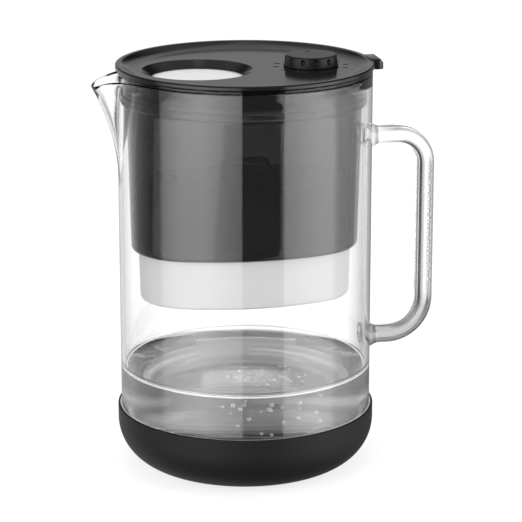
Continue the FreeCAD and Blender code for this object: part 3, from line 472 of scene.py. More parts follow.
def make_sweep_tree():
    """Sweeps a rounded bar along a path of edges, wider where it meets the wall."""
    build, given, result = geometry_tree("sweep_bar", (
        ("Width", "NodeSocketFloat"), ("Thickness", "NodeSocketFloat"), ("Corner", "NodeSocketFloat"),
        ("Corner Steps", "NodeSocketInt"), ("Wall", "NodeSocketFloat"), ("Flare Length", "NodeSocketFloat"),
        ("Flare", "NodeSocketFloat")))
    path = build.add("GeometryNodeMeshToCurve", {"Mesh": given.outputs["Geometry"]})
    section = build.add("GeometryNodeCurvePrimitiveQuadrilateral", {
        "Width": given.outputs["Width"], "Height": given.outputs["Thickness"]})
    rounded = build.add("GeometryNodeFilletCurve", {
        "Curve": section.outputs["Curve"], "Radius": given.outputs["Corner"],
        "Count": given.outputs["Corner Steps"]}, mode="POLY")
    place = build.add("GeometryNodeInputPosition")
    parts = build.add("ShaderNodeSeparateXYZ", {0: place.outputs[0]})
    far = build.calc("ADD", given.outputs["Wall"], given.outputs["Flare Length"])
    near = build.fade(parts.outputs["X"], far, given.outputs["Wall"], interpolation_type="SMOOTHERSTEP")
    scale = build.calc("MULTIPLY_ADD", build.calc("POWER", near, 2.0), given.outputs["Flare"], 1.0)
    bar = build.add("GeometryNodeCurveToMesh", {
        "Curve": path.outputs["Curve"], "Profile Curve": rounded.outputs["Curve"],
        "Scale": scale, "Fill Caps": True})
    return close_tree(build, bar.outputs["Mesh"], given, result)


def make_bubble_tree():
    """Scatters small bubbles through a disc of water."""
    build, given, result = geometry_tree("scatter_bubbles", (
        ("Count", "NodeSocketInt"), ("Reach", "NodeSocketFloat"), ("Low", "NodeSocketFloat"),
        ("High", "NodeSocketFloat"), ("Smallest", "NodeSocketFloat"), ("Largest", "NodeSocketFloat"),
        ("Centre", "NodeSocketVector"), ("Seed", "NodeSocketInt")))

    def random(low, high, shift):
        """A random value between two others, the same each run."""
        seed = build.calc("ADD", given.outputs["Seed"], float(shift))
        node = build.add("FunctionNodeRandomValue", {"Seed": seed})
        for name, value in (("Min", low), ("Max", high)):
            socket = [s for s in node.inputs if s.name == name and s.type == "VALUE"][0]
            if isinstance(value, bpy.types.NodeSocket):
                build.link(value, socket)
            else:
                socket.default_value = value
        return [s for s in node.outputs if s.type == "VALUE"][0]

    share = build.calc("SQRT", random(0.0, 1.0, 1))
    reach = build.calc("MULTIPLY", share, given.outputs["Reach"])
    angle = random(0.0, 2 * math.pi, 2)
    place = build.add("ShaderNodeCombineXYZ", {
        "X": build.calc("MULTIPLY", build.calc("COSINE", angle), reach),
        "Y": build.calc("MULTIPLY", build.calc("SINE", angle), reach),
        "Z": random(given.outputs["Low"], given.outputs["High"], 3)})
    moved = build.add("ShaderNodeVectorMath", {
        0: place.outputs[0], 1: given.outputs["Centre"]}, operation="ADD")
    points = build.add("GeometryNodePoints", {
        "Count": given.outputs["Count"], "Position": moved.outputs[0]})
    copies = build.add("GeometryNodeInstanceOnPoints", {
        "Points": points.outputs["Points"], "Instance": given.outputs["Geometry"],
        "Scale": random(given.outputs["Smallest"], given.outputs["Largest"], 4)})
    return close_tree(build, copies.outputs["Instances"], given, result)


TREES = {}


def run_tree(item, maker, material, **values):
    """Run a geometry node tree on an object and keep the result as its mesh."""
    if maker not in TREES:
        TREES[maker] = maker()
    change = item.modifiers.new("build", "NODES")
    change.node_group = TREES[maker]
    wanted = {key.replace("_", " ").title(): value for key, value in values.items()}
    wanted["Material"] = material
    for socket in TREES[maker].interface.items_tree:
        if socket.in_out == "INPUT" and socket.name in wanted:
            change[socket.identifier] = wanted[socket.name]
    return bake(item)


# Materials

MATERIALS = {}
GRAIN_GROUP = "moulded_grain"
GRAIN_DEPTH = 0.3 * MM
WAVE_DEPTH = 0.6 * MM
GLASS_BEND, PLASTIC_BEND, WATER_BEND = 1.5, 1.49, 1.333
GLASS_DEPTH = (0.58, 0.58, 0.58, 1.0)
WATER_DEPTH = (0.55, 0.55, 0.55, 1.0)
WHITE_LIGHT = (1.0, 1.0, 1.0, 1.0)

# Where the grip is dimpled, from none to all, and how its dimples look, with painted shade round their edges
GRIP_FACE = (104.6 * MM, 106.2 * MM)
GRIP_LOW = (94.0 * MM, 100.0 * MM)
GRIP_HIGH = (176.0 * MM, 170.0 * MM)
DIMPLES = 430.0
DIMPLE_SCATTER = 0.35
DIMPLE_BOWL = (0.1, 0.55)
DIMPLE_EDGE = (0.36, 0.6)
DIMPLE_SHADE = 0.22
DIMPLE_BUMP = 0.3
DIMPLE_DEPTH = 0.3 * MM

# Painted shade on the bar: its rounded corners, its roots at the wall and its lower bend
CORNER_SLANT = (0.12, 0.22)
CORNER_SIDES = (-0.4, 0.3)
CORNER_TONES = (0.02, 0.35)
ROOT_PLACE, ROOT_TONE = (90.0 * MM, 76.0 * MM), 0.8
BEND_PLACE = (100.0 * MM, 85.0 * MM)
BEND_TOP, BEND_TOP_TONE = (0.1, 0.4), 0.85
BEND_EAST, BEND_LEVEL = 83.6 * MM, 92.3 * MM
BEND_UNDER, BEND_SHADE = (22.4 * MM, 22.9 * MM), 0.72

# Painted light on the boot's inside face, pale and glowing: which way that face looks, where its wall rises,
# and its glow
PAINTED_LIGHT_FACE = (-3.0 * MM, -8.0 * MM)
PAINTED_LIGHT_RISE, PAINTED_LIGHT_FLOOR = (2.5 * MM, 11.0 * MM), 0.25
PAINTED_LIGHT_GLOW = 0.17


def make_grain_group():
    """Fine grain and slow patches: a height for bump and a roughness that varies."""
    tree = bpy.data.node_groups.new(GRAIN_GROUP, "ShaderNodeTree")
    for label in ("Grain Size", "Patch Size", "Roughness", "Spread"):
        tree.interface.new_socket(label, in_out="INPUT", socket_type="NodeSocketFloat")
    for label in ("Height", "Roughness", "Patches"):
        tree.interface.new_socket(label, in_out="OUTPUT", socket_type="NodeSocketFloat")
    build = Tree(tree)
    given, result = build.add("NodeGroupInput"), build.add("NodeGroupOutput")
    place = build.add("ShaderNodeTexCoord").outputs["Object"]
    grain = build.add("ShaderNodeTexNoise", {
        "Vector": place, "Scale": given.outputs["Grain Size"], "Detail": 3.0, "Roughness": 0.6}).outputs["Fac"]
    patch = build.add("ShaderNodeTexNoise", {
        "Vector": place, "Scale": given.outputs["Patch Size"], "Detail": 4.0, "Roughness": 0.55}).outputs["Fac"]
    centred = build.calc("SUBTRACT", patch, 0.5)
    rough = build.calc("MULTIPLY_ADD", centred, given.outputs["Spread"], given.outputs["Roughness"])
    for label, value in (("Height", grain), ("Roughness", rough), ("Patches", patch)):
        build.link(value, result.inputs[label])
    return tree


def grain_group():
    """The shared grain group, made once."""
    return bpy.data.node_groups.get(GRAIN_GROUP) or make_grain_group()


def blank_material(name):
    """A material with an empty node tree, or the one already made."""
    if name in MATERIALS:
        return MATERIALS[name], None, None
    material = bpy.data.materials.new(name)
    MATERIALS[name] = material
    material.use_nodes = True
    material.node_tree.nodes.clear()
    build = Tree(material.node_tree)
    return material, build, build.add("ShaderNodeOutputMaterial")


def solid_material(
        name, tint, roughness, spread=0.1, grain=900.0, bump=0.05, patch=30.0, mottle=0.06, **sockets):
    """An opaque material with grain, patchy gloss and a faint change of tone."""
    material, build, output = blank_material(name)
    if build is None:
        return material
    grained = build.add("ShaderNodeGroup", node_tree=grain_group())
    for label, value in (
            ("Grain Size", grain), ("Patch Size", patch), ("Roughness", roughness), ("Spread", spread)):
        grained.inputs[label].default_value = value
    tone = build.fade(grained.outputs["Patches"], 0.25, 0.75, 1.0 - mottle, 1.0 + mottle)
    lift = build.add("ShaderNodeBump", {
        "Height": grained.outputs["Height"], "Strength": bump, "Distance": GRAIN_DEPTH})
    surface = build.add("ShaderNodeBsdfPrincipled", {
        "Base Color": build.toned(tint, tone), "Roughness": grained.outputs["Roughness"],
        "Normal": lift.outputs["Normal"]})
    for label, value in sockets.items():
        surface.inputs[label.replace("_", " ")].default_value = value
    build.link(surface.outputs[0], output.inputs["Surface"])
    return material


def clear_material(name, tint, ior, density, shadow, bump=0.02, edge=None, bar=False):
    """A clear material: a faint wave in its surface, a tint that grows with depth, and painted shade where it
    is seen edge on.
    """
    material, build, output = blank_material(name)
    if build is None:
        return material
    place = build.add("ShaderNodeTexCoord").outputs
    wave = build.add("ShaderNodeTexNoise", {
        "Vector": place["Object"], "Scale": 60.0, "Detail": 1.0, "Roughness": 0.4})
    lift = build.add("ShaderNodeBump", {
        "Height": wave.outputs["Fac"], "Strength": bump, "Distance": WAVE_DEPTH})
    normal, painted_shades = lift.outputs["Normal"], []
    if bar:
        normal, dimple_shade = grip_dimples(build, place, normal)
        painted_shades = [dimple_shade, bar_painted_shade(build, place)]
    surface = build.add("ShaderNodeBsdfPrincipled", {
        "Base Color": tuple(tint), "Roughness": 0.0, "IOR": ior, "Transmission Weight": 1.0, "Normal": normal})
    # Painted shade: the tint darkens where the surface is seen edge on, times the bar's painted shades
    if edge is not None:
        first, last, edge_shade_level = edge
        facing = build.add("ShaderNodeLayerWeight", {"Blend": 0.5})
        tone = build.fade(facing.outputs["Facing"], first, last, 1.0, edge_shade_level)
        for other in painted_shades:
            tone = build.calc("MULTIPLY", tone, other)
        build.link(build.toned(tint, tone), surface.inputs["Base Color"])
    build.link(surface.outputs[0], output.inputs["Surface"])
    depth = build.add("ShaderNodeVolumeAbsorption", {"Color": tuple(shadow), "Density": density})
    build.link(depth.outputs[0], output.inputs["Volume"])
    return material


def grip_dimples(build, place, normal):
    """Small round dimples on the outer face of the grip: their normal, and the painted shade round their edges.
    """
    spot = build.add("ShaderNodeSeparateXYZ", {0: place["Object"]}).outputs
    ends = build.calc("MULTIPLY", build.fade(spot["Z"], *GRIP_LOW), build.fade(spot["Z"], *GRIP_HIGH))
    mask = build.calc("MULTIPLY", build.fade(spot["X"], *GRIP_FACE), ends)
    cells = build.add("ShaderNodeTexVoronoi", {
        "Vector": place["Object"], "Scale": DIMPLES, "Randomness": DIMPLE_SCATTER}, feature="F1")
    middle = cells.outputs["Distance"]
    bowl = build.fade(middle, *DIMPLE_BOWL, interpolation_type="SMOOTHSTEP")
    lift = build.add("ShaderNodeBump", {
        "Height": build.calc("MULTIPLY", bowl, mask), "Strength": DIMPLE_BUMP, "Distance": DIMPLE_DEPTH,
        "Normal": normal})
    # Painted shade: the tint darkens round each dimple's edge
    edge = build.fade(middle, *DIMPLE_EDGE, high=DIMPLE_SHADE)
    return lift.outputs["Normal"], build.calc("SUBTRACT", 1.0, build.calc("MULTIPLY", edge, mask))


def bar_painted_shade(build, place):
    """Painted shade on the bar's rounded corners and on the underside of its lower bend, which turn light away.
    """
    aim = build.add("ShaderNodeSeparateXYZ", {0: place["Normal"]}).outputs
    spot = build.add("ShaderNodeSeparateXYZ", {0: place["Object"]}).outputs
    across = build.calc("MULTIPLY", aim["Y"], aim["Y"])
    slant = build.calc("MULTIPLY", across, build.calc("SUBTRACT", 1.0, across))
    tone = build.fade(slant, *CORNER_SLANT, 1.0, build.fade(aim["X"], *CORNER_SIDES, *CORNER_TONES))
    tone = build.calc("MAXIMUM", tone, build.fade(spot["X"], *ROOT_PLACE, high=ROOT_TONE))
    below = build.fade(spot["Z"], *BEND_PLACE)
    shine = build.calc("MULTIPLY", below, build.fade(aim["Z"], *BEND_TOP, high=BEND_TOP_TONE))
    tone = build.calc("MAXIMUM", tone, shine)
    away = build.calc("MAXIMUM", build.calc("SUBTRACT", spot["X"], BEND_EAST), 0.0)
    down = build.calc("SUBTRACT", BEND_LEVEL, spot["Z"])
    arm = build.add("ShaderNodeCombineXYZ", {"X": away, "Z": down}).outputs[0]
    reach = build.add("ShaderNodeVectorMath", {0: arm}, operation="LENGTH").outputs["Value"]
    under = build.calc("MULTIPLY", below, build.fade(reach, *BEND_UNDER, high=BEND_SHADE))
    return build.calc("MULTIPLY", tone, build.calc("SUBTRACT", 1.0, under))


def colours():
    """The scene's colours."""
    return bpy.context.scene.pitcher_colours


def sizes():
    """The scene's sizes."""
    return bpy.context.scene.pitcher_sizes


def glass_material():
    """Clear blown glass, with painted shade where it is seen edge on."""
    return clear_material(
        "blown_glass", colours().glass, GLASS_BEND, 14.0, GLASS_DEPTH, edge=(0.8, 1.0, 0.45))


def handle_material():
    """Clear drawn glass, dimpled where the hand holds it, with painted shade where it is seen edge on, at its
    corners, under its lower bend and round its dimples.
    """
    return clear_material(
        "drawn_glass", colours().glass, GLASS_BEND, 8.0, GLASS_DEPTH, edge=(0.86, 1.0, 0.3), bar=True)


def smoke_material():
    """Smoke-tinted plastic that lets a little light through."""
    return clear_material("smoke_tint", (0.9, 0.9, 0.9, 1.0), PLASTIC_BEND, 1000.0, colours().smoke)


def water_material():
    """Clear water."""
    return clear_material("clear_water", colours().water, WATER_BEND, 2.0, WATER_DEPTH, bump=0.01)


def black_material():
    """Satin black plastic."""
    return solid_material("satin_black", colours().black, 0.14, 0.06, 1400.0, 0.02)


def white_material():
    """Fine matte white plastic."""
    return solid_material("matte_white", colours().white, 0.42, 0.1, 1600.0, 0.04, mottle=0.02)


def seal_material():
    """Soft black rubber."""
    return solid_material("soft_black_rubber", colours().seal, 0.22, 0.06, 1200.0, 0.03)


def pale_seal_material():
    """Soft pale rubber."""
    return solid_material("soft_pale_rubber", colours().pale_seal, 0.5, 0.1, 1200.0, 0.05, mottle=0.03)


def boot_material():
    """Matte black silicone, with painted light on the face that holds the glass: paler there, and glowing."""
    material = solid_material(
        "matte_silicone", colours().silicone, 0.55, 0.12, 1500.0, 0.06, patch=18.0, mottle=0.08,
        Sheen_Weight=0.04, Sheen_Roughness=0.4, Specular_IOR_Level=0.25)
    build = Tree(material.node_tree)
    surface = next(n for n in build.tree.nodes if n.type == "BSDF_PRINCIPLED")
    tint = surface.inputs["Base Color"].links[0].from_socket
    face = build.add("ShaderNodeNewGeometry").outputs["Normal"]
    place = build.add("ShaderNodeTexCoord").outputs["Object"]
    toward = build.add("ShaderNodeVectorMath", {
        0: place, 1: (0.0, 0.0, sizes().boot_height)}, operation="SUBTRACT").outputs[0]
    outwards = build.add("ShaderNodeVectorMath", {0: toward, 1: face}, operation="DOT_PRODUCT")
    inside = build.fade(outwards.outputs["Value"], *PAINTED_LIGHT_FACE)
    level = build.add("ShaderNodeSeparateXYZ", {0: place}).outputs["Z"]
    # Painted light: the inside face is mixed towards a pale colour and glows, less so near its floor
    painted_light = build.calc("MULTIPLY", inside, build.fade(level, *PAINTED_LIGHT_RISE, low=PAINTED_LIGHT_FLOOR))
    mixed = build.add("ShaderNodeMix", {"Factor": painted_light}, data_type="RGBA")
    build.link(tint, mixed.inputs["A"])
    mixed.inputs["B"].default_value = colours().boot_inside_painted_light
    build.link(mixed.outputs["Result"], surface.inputs["Base Color"])
    build.link(painted_light, surface.inputs["Emission Color"])
    surface.inputs["Emission Strength"].default_value = PAINTED_LIGHT_GLOW
    return material


def steel_material():
    """Drawn stainless steel."""
    return solid_material("drawn_steel", colours().steel, 0.28, 0.12, 2600.0, 0.04, Metallic=1.0)


def flap_material():
    """Smooth white plastic."""
    return solid_material("smooth_white", colours().flap, 0.32, 0.08, 1500.0, 0.03, mottle=0.015)


def dial_material():
    """Black plastic, duller than the lid's."""
    return solid_material("dial_black", colours().black, 0.34, 0.1, 1800.0, 0.08)


def nylon_material():
    """Undyed nylon."""
    return solid_material("natural_nylon", colours().nylon, 0.45, 0.1, 1500.0, 0.03, mottle=0.03)


def felt_material():
    """Pressed felt."""
    return solid_material(
        "pressed_felt", colours().felt, 0.9, 0.1, 700.0, 0.5, mottle=0.12, Sheen_Weight=0.3)


def resin_material():
    """Amber beads."""
    return solid_material("amber_beads", colours().resin, 0.4, 0.3, 1300.0, 0.9, patch=400.0, mottle=0.3)


def carbon_material():
    """Black grains."""
    return solid_material("black_grains", colours().carbon, 0.6, 0.4, 1000.0, 1.0, patch=500.0, mottle=0.4)


def meniscus_glow_material():
    """A painted highlight: the bright line where the water climbs the glass, which glows."""
    return solid_material(
        "painted_meniscus_glow", (0.9, 0.9, 0.9), 0.2, 0.1, 700.0, 0.02, Emission_Color=WHITE_LIGHT,
        Emission_Strength=0.55)


def bubble_material():
    """Air in water: clear in the middle, with a painted highlight that glows at the edge."""
    material, build, output = blank_material("air_bubble")
    if build is None:
        return material
    edge = build.add("ShaderNodeLayerWeight", {"Blend": 0.5})
    ramp = build.fade(edge.outputs["Facing"], 0.4, 0.6, 0.03, 1.0)
    clear = build.add("ShaderNodeBsdfTransparent")
    # Painted highlight: the bubble's edge is white and glows
    bright = build.add("ShaderNodeBsdfPrincipled", {
        "Base Color": (0.95, 0.95, 0.95, 1.0), "Roughness": 0.1, "Emission Color": WHITE_LIGHT,
        "Emission Strength": 1.0})
    mix = build.add("ShaderNodeMixShader", {0: ramp, 1: clear.outputs[0], 2: bright.outputs[0]})
    build.link(mix.outputs[0], output.inputs["Surface"])
    return material


# Levels shared by pieces, in metres
GLASS_BASE = 2.5 * MM
GLASS_FLOOR = 4.0 * MM
GLASS_CORNER = 24.5 * MM
LIP_SETTLE = 1.5 * MM
LIP_EASE = 14.0 * MM
LIP_DIP = 5.0 * MM
LIP_LEAD = 2.0 * MM
LIP_RUN = 16.9 * MM
LIP_WALL = 1.5 * MM
LIP_TAPER = 7.0 * MM
LIP_ROUNDS = 20
HANDLE_TOP = 189.48 * MM
HANDLE_LOW = 70.31 * MM
HANDLE_BEND_TOP = 17.0 * MM
HANDLE_BEND_LOW = 22.0 * MM
HANDLE_CORNER = 3.6 * MM
HANDLE_FLARE = 0.34
HANDLE_FLARE_LENGTH = 8.0 * MM
FLANGE_TOP = 231.2 * MM
HOPPER_FOOT = 128.0 * MM
HOPPER_FLOOR_TOP = 130.4 * MM
LEDGE_LOW = 212.5 * MM
LEDGE_TOP = 214.7 * MM
LID_OVERHANG = 0.9 * MM
LID_CREST_WIDTH = 3.0 * MM
LID_CREST = 234.0 * MM
LID_FLAT = 230.7 * MM
LID_UNDER = 228.3 * MM
HOLE_EAST = -27.0 * MM
HOLE_LOW = 226.4 * MM
HINGE = Vector((3.7 * MM, 0.0, 225.1 * MM))
DIAL_EAST = 38.0 * MM
DIAL_LOW = 230.9 * MM
DIAL_TOP = 237.4 * MM
DIAL_EASE = 0.12 * MM
FILTER_FOOT = 99.6 * MM


class Spout:
    """The jug's wall at each level, with the spout pulled out of it."""

    def __init__(self, size):
        self.size = size
        self.foot = size.rim_level - size.spout_height

    def ridge(self, level):
        """How far the spout's ridge stands from the axis."""
        rise = np.maximum(level - self.foot, 0.0)
        curve = self.size.spout_ridge
        return self.size.glass_radius + curve - np.sqrt(curve ** 2 - rise ** 2)

    def reach(self, angles, level, inset):
        """Distance from the axis to the wall at each angle, set in from the outside."""
        size = self.size
        off = np.abs(np.angle(np.exp(1j * (angles - math.pi))))
        nose_east = self.ridge(level) - size.spout_nose
        far = size.glass_radius + size.spout_flank
        span = size.spout_nose + size.spout_flank
        toward = np.clip((nose_east ** 2 + far ** 2 - span ** 2) / (2 * nose_east * far), -1.0, 1.0)
        flank_angle = np.arccos(toward)
        nose, flank, wall = size.spout_nose - inset, size.spout_flank + inset, size.glass_radius - inset
        tip_east = nose_east + nose * (far * toward - nose_east) / span
        tip_north = nose * far * np.sin(flank_angle) / span
        nose_angle = np.arctan2(tip_north, tip_east)
        on_nose = nose_east * np.cos(off) + np.sqrt(np.maximum(nose ** 2 - (nose_east * np.sin(off)) ** 2, 0))
        turn = off - flank_angle
        on_flank = far * np.cos(turn) - np.sqrt(np.maximum(flank ** 2 - (far * np.sin(turn)) ** 2, 0))
        return np.where(off < nose_angle, on_nose, np.where(off < flank_angle, on_flank, wall))

    def rim(self, angles):
        """Level of the rim at each angle: flat, and curving down along the lip."""
        size = self.size
        level = np.full(angles.shape, size.rim_level)
        for _ in range(LIP_ROUNDS):
            west = -np.cos(angles) * self.reach(angles, level, size.glass_wall / 2)
            ease = np.clip((west - size.glass_radius) / LIP_EASE + 1, 0, 1)
            curve = np.maximum(west - size.glass_radius + LIP_LEAD, 0) / LIP_RUN
            target = size.rim_level - LIP_SETTLE * smooth(ease) - LIP_DIP * curve ** 2
            level = (level + target) / 2
        return level


def jug_angles():
    """Angles round the jug, closer together at the spout."""
    half, at_spout, elsewhere = math.radians(34), 140, 170
    spout = math.pi + np.linspace(-half, half, at_spout, endpoint=False)
    rest = np.linspace(math.pi + half, 3 * math.pi - half, elsewhere, endpoint=False)
    return np.concatenate([spout, rest])


class PITCHER_OT_glass_jug(Operator):
    """Blow the jug with its spout and fuse on its handle"""

    bl_idname = "pitcher.glass_jug"
    bl_label = "Glass jug"

    def execute(self, context):
        size = sizes()
        spout, angles = Spout(size), jug_angles()
        radius, wall = size.glass_radius, size.glass_wall
        rim = spout.rim(angles)
        half = LIP_WALL / 2
        rings = []
        for inset, base, rising in ((0.0, GLASS_BASE, True), (wall, GLASS_BASE + GLASS_FLOOR, False)):
            corner = GLASS_CORNER - inset
            flat = radius - GLASS_CORNER
            side = [ring(flat * s, angles, base) for s in (0.02, 0.4, 0.8)]
            for r, z in arc_points((flat, base + corner), corner, -90, 0, 18):
                side.append(ring(r, angles, z))
            for level in np.linspace(base + corner, spout.foot, 10)[1:]:
                side.append(ring(radius - inset, angles, level))
            for share in np.linspace(0, 1, 60)[1:]:
                level = spout.foot + share * (rim - half - spout.foot)
                thin = np.clip((level - rim + LIP_TAPER) / LIP_TAPER, 0, 1)
                depth = inset - (wall - LIP_WALL) * smooth(thin) if inset else 0.0
                side.append(ring(spout.reach(angles, level, depth), angles, level))
            rings.append(side if rising else side[::-1])
        lip = []
        for turn in np.linspace(0, math.pi, 11)[1:-1]:
            level = rim - half + half * math.sin(turn)
            middle = spout.reach(angles, level, half)
            lip.append(ring(middle + half * math.cos(turn), angles, level))
        rings = rings[0] + lip + rings[1]
        vertices, faces = stack_faces(
            rings, first_pole=(0, 0, GLASS_BASE), last_pole=(0, 0, GLASS_BASE + GLASS_FLOOR))
        jug = new_object("glass_jug_body", vertices, faces)
        jug.data.materials.append(glass_material())
        join_solids(jug, self.make_handle(size), "UNION")
        shade(jug, 50.0)
        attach(jug, "jug")
        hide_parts("glass_jug", "glass_handle")
        return {"FINISHED"}

    def make_handle(self, size):
        """The solid glass bar, flared where it is fused to the wall."""
        east = size.glass_radius + size.handle_stand
        inside = size.glass_radius - size.glass_wall * 0.6
        upper, lower = HANDLE_BEND_TOP, HANDLE_BEND_LOW
        path = [(inside + (east - upper - inside) * s, HANDLE_TOP) for s in np.linspace(0, 1, 22)]
        path += arc_points((east - upper, HANDLE_TOP - upper), upper, 90, 0, 22)[1:]
        path += [(east, z) for z in np.linspace(HANDLE_TOP - upper, HANDLE_LOW + lower, 20)[1:]]
        path += arc_points((east - lower, HANDLE_LOW + lower), lower, 0, -90, 22)[1:]
        path += [(east - lower + (inside - east + lower) * s, HANDLE_LOW) for s in np.linspace(0, 1, 18)[1:]]
        handle = new_path("handle_bar", [(x, 0.0, z) for x, z in path])
        run_tree(
            handle, make_sweep_tree, handle_material(), width=size.handle_width,
            thickness=size.handle_thickness, corner=HANDLE_CORNER, corner_steps=8, wall=size.glass_radius,
            flare_length=HANDLE_FLARE_LENGTH, flare=HANDLE_FLARE)
        return weld(handle)


class PITCHER_OT_silicone_boot(Operator):
    """Stretch the silicone boot over the jug's foot"""

    bl_idname = "pitcher.silicone_boot"
    bl_label = "Silicone boot"

    def execute(self, context):
        size = sizes()
        gap, skin, floor, lip = 0.1 * MM, 1.9 * MM, 2.4 * MM, 0.7 * MM
        height = size.boot_height
        inside = size.glass_radius + gap
        outside = inside + skin
        corner = GLASS_CORNER + gap
        outer = corner + skin
        outline = [(0, 0), (0.2 * (outside - outer), 0), (0.9 * (outside - outer), 0)]
        outline += arc_points((outside - outer, outer), outer, -90, 0, 28)
        outline += [(outside, height - 3 * MM)]
        outline += arc_points((outside - lip, height - lip), lip, 0, 90, 5)
        outline += arc_points((inside + lip / 2, height - lip / 2), lip / 2, 90, 180, 3)
        outline += arc_points((inside - corner, floor + corner), corner, 0, -90, 20)
        outline += [(0.3 * (inside - corner), floor), (0, floor)]
        boot = turned_on_axis("silicone_boot_shell", outline, count=FINE_SEGMENTS)
        finish_piece(boot, "jug", boot_material(), ("silicone_boot",), angle=50.0)
        return {"FINISHED"}


class PITCHER_OT_hopper(Operator):
    """Mould the smoke-tinted hopper and its two-lipped seal"""

    bl_idname = "pitcher.hopper"
    bl_label = "Hopper"

    def execute(self, context):
        size = sizes()
        angles = turn_angles(FINE_SEGMENTS)
        wall = size.hopper_wall
        inside = size.glass_radius - size.glass_wall
        collar = inside - 0.6 * MM
        lower = collar - 0.3 * MM
        bore = collar - 2.4 * MM
        rim, step = size.rim_level, size.rim_level - 9.4 * MM
        seat, seal_low, seal_top = lower - 0.9 * MM, 213.4 * MM, 218.4 * MM
        socket = CUP_TOP.grown(0.5 * MM)
        round_foot, round_floor = 3.2 * MM, 1.0 * MM
        ledge_run, ledge_reach = 1.2 * MM, 0.5 * MM
        brim_run, brim_reach = 0.4 * MM, 0.3 * MM

        def oval_at(level):
            """The wall's outside at a level."""
            return HOPPER_LOW.mixed(HOPPER_TOP, (level - HOPPER_FOOT) / (LEDGE_TOP - HOPPER_FOOT))

        def oval_ring(oval, level):
            """A ring that follows an oval."""
            return ring(oval.reach(angles), angles, level)

        rings = [oval_ring(socket, HOPPER_FLOOR_TOP), oval_ring(socket, HOPPER_FOOT)]
        for inset, level in arc_points((0, 0), round_foot, -90, 0, 8):
            height = HOPPER_FOOT + round_foot + level
            rings.append(oval_ring(oval_at(height).grown(inset - round_foot), height))
        for level in np.linspace(HOPPER_FOOT + round_foot, LEDGE_LOW - ledge_run, 14)[1:]:
            rings.append(oval_ring(oval_at(level), level))
        for share in (0.35, 0.75, 1.0):
            level = LEDGE_LOW - ledge_run * (1 - share)
            rings.append(oval_ring(oval_at(level).grown(ledge_reach * share ** 2), level))
        outer = soft_outline([
            (lower - 0.4 * MM, LEDGE_LOW, 0), (lower, LEDGE_LOW, 0.3 * MM), (lower, seal_low, 0.1 * MM),
            (seat, seal_low, 0.1 * MM), (seat, seal_top, 0.1 * MM), (lower, seal_top, 0.1 * MM),
            (lower, step, 0.1 * MM), (collar, step + 0.2 * MM, 0.2 * MM), (collar, rim, 0.3 * MM),
            (size.glass_radius, rim, 0.3 * MM), (size.glass_radius, FLANGE_TOP, 0.4 * MM),
            (bore, FLANGE_TOP, 0.5 * MM), (bore, LEDGE_TOP, 0.4 * MM), (bore - 0.5 * MM, LEDGE_TOP, 0)],
            closed=False, steps=4)
        rings += [ring(r, angles, z) for r, z in outer]
        for share in (0.0, 0.5, 1.0):
            level = LEDGE_TOP - brim_run * share
            inset = wall + brim_reach * (share - 1) ** 2 - brim_reach
            rings.append(oval_ring(oval_at(level).grown(-inset), level))
        for level in np.linspace(LEDGE_TOP - 0.6 * MM, HOPPER_FLOOR_TOP + round_floor, 12):
            rings.append(oval_ring(oval_at(level).grown(-wall), level))
        for turn, level in arc_points((0, 0), round_floor, 0, -90, 4)[1:]:
            height = HOPPER_FLOOR_TOP + round_floor + level
            inset = wall + (round_floor - turn)
            rings.append(oval_ring(oval_at(height).grown(-min(inset, wall + 0.25 * MM)), height))
        shell = new_object("hopper_shell_body", *stack_faces(rings, loop=True))
        finish_piece(shell, "hopper", smoke_material(), ("hopper_shell",), angle=40.0)
        lip = inside - 0.3 * MM
        pitch = (seal_top - seal_low) / 6
        corners = [(seat, seal_low, 0)]
        for number, reach in enumerate((lower, lip, lower, lower, lip, lower)):
            corners.append((reach, seal_low + pitch * (number + number // 3), 0.25 * MM))
        corners.append((seat, seal_top, 0))
        seal = turned("hopper_seal_lips", soft_outline(corners, closed=True, steps=3), count=FINE_SEGMENTS)
        finish_piece(seal, "hopper", seal_material(), ("hopper_seal_ring",))
        return {"FINISHED"}


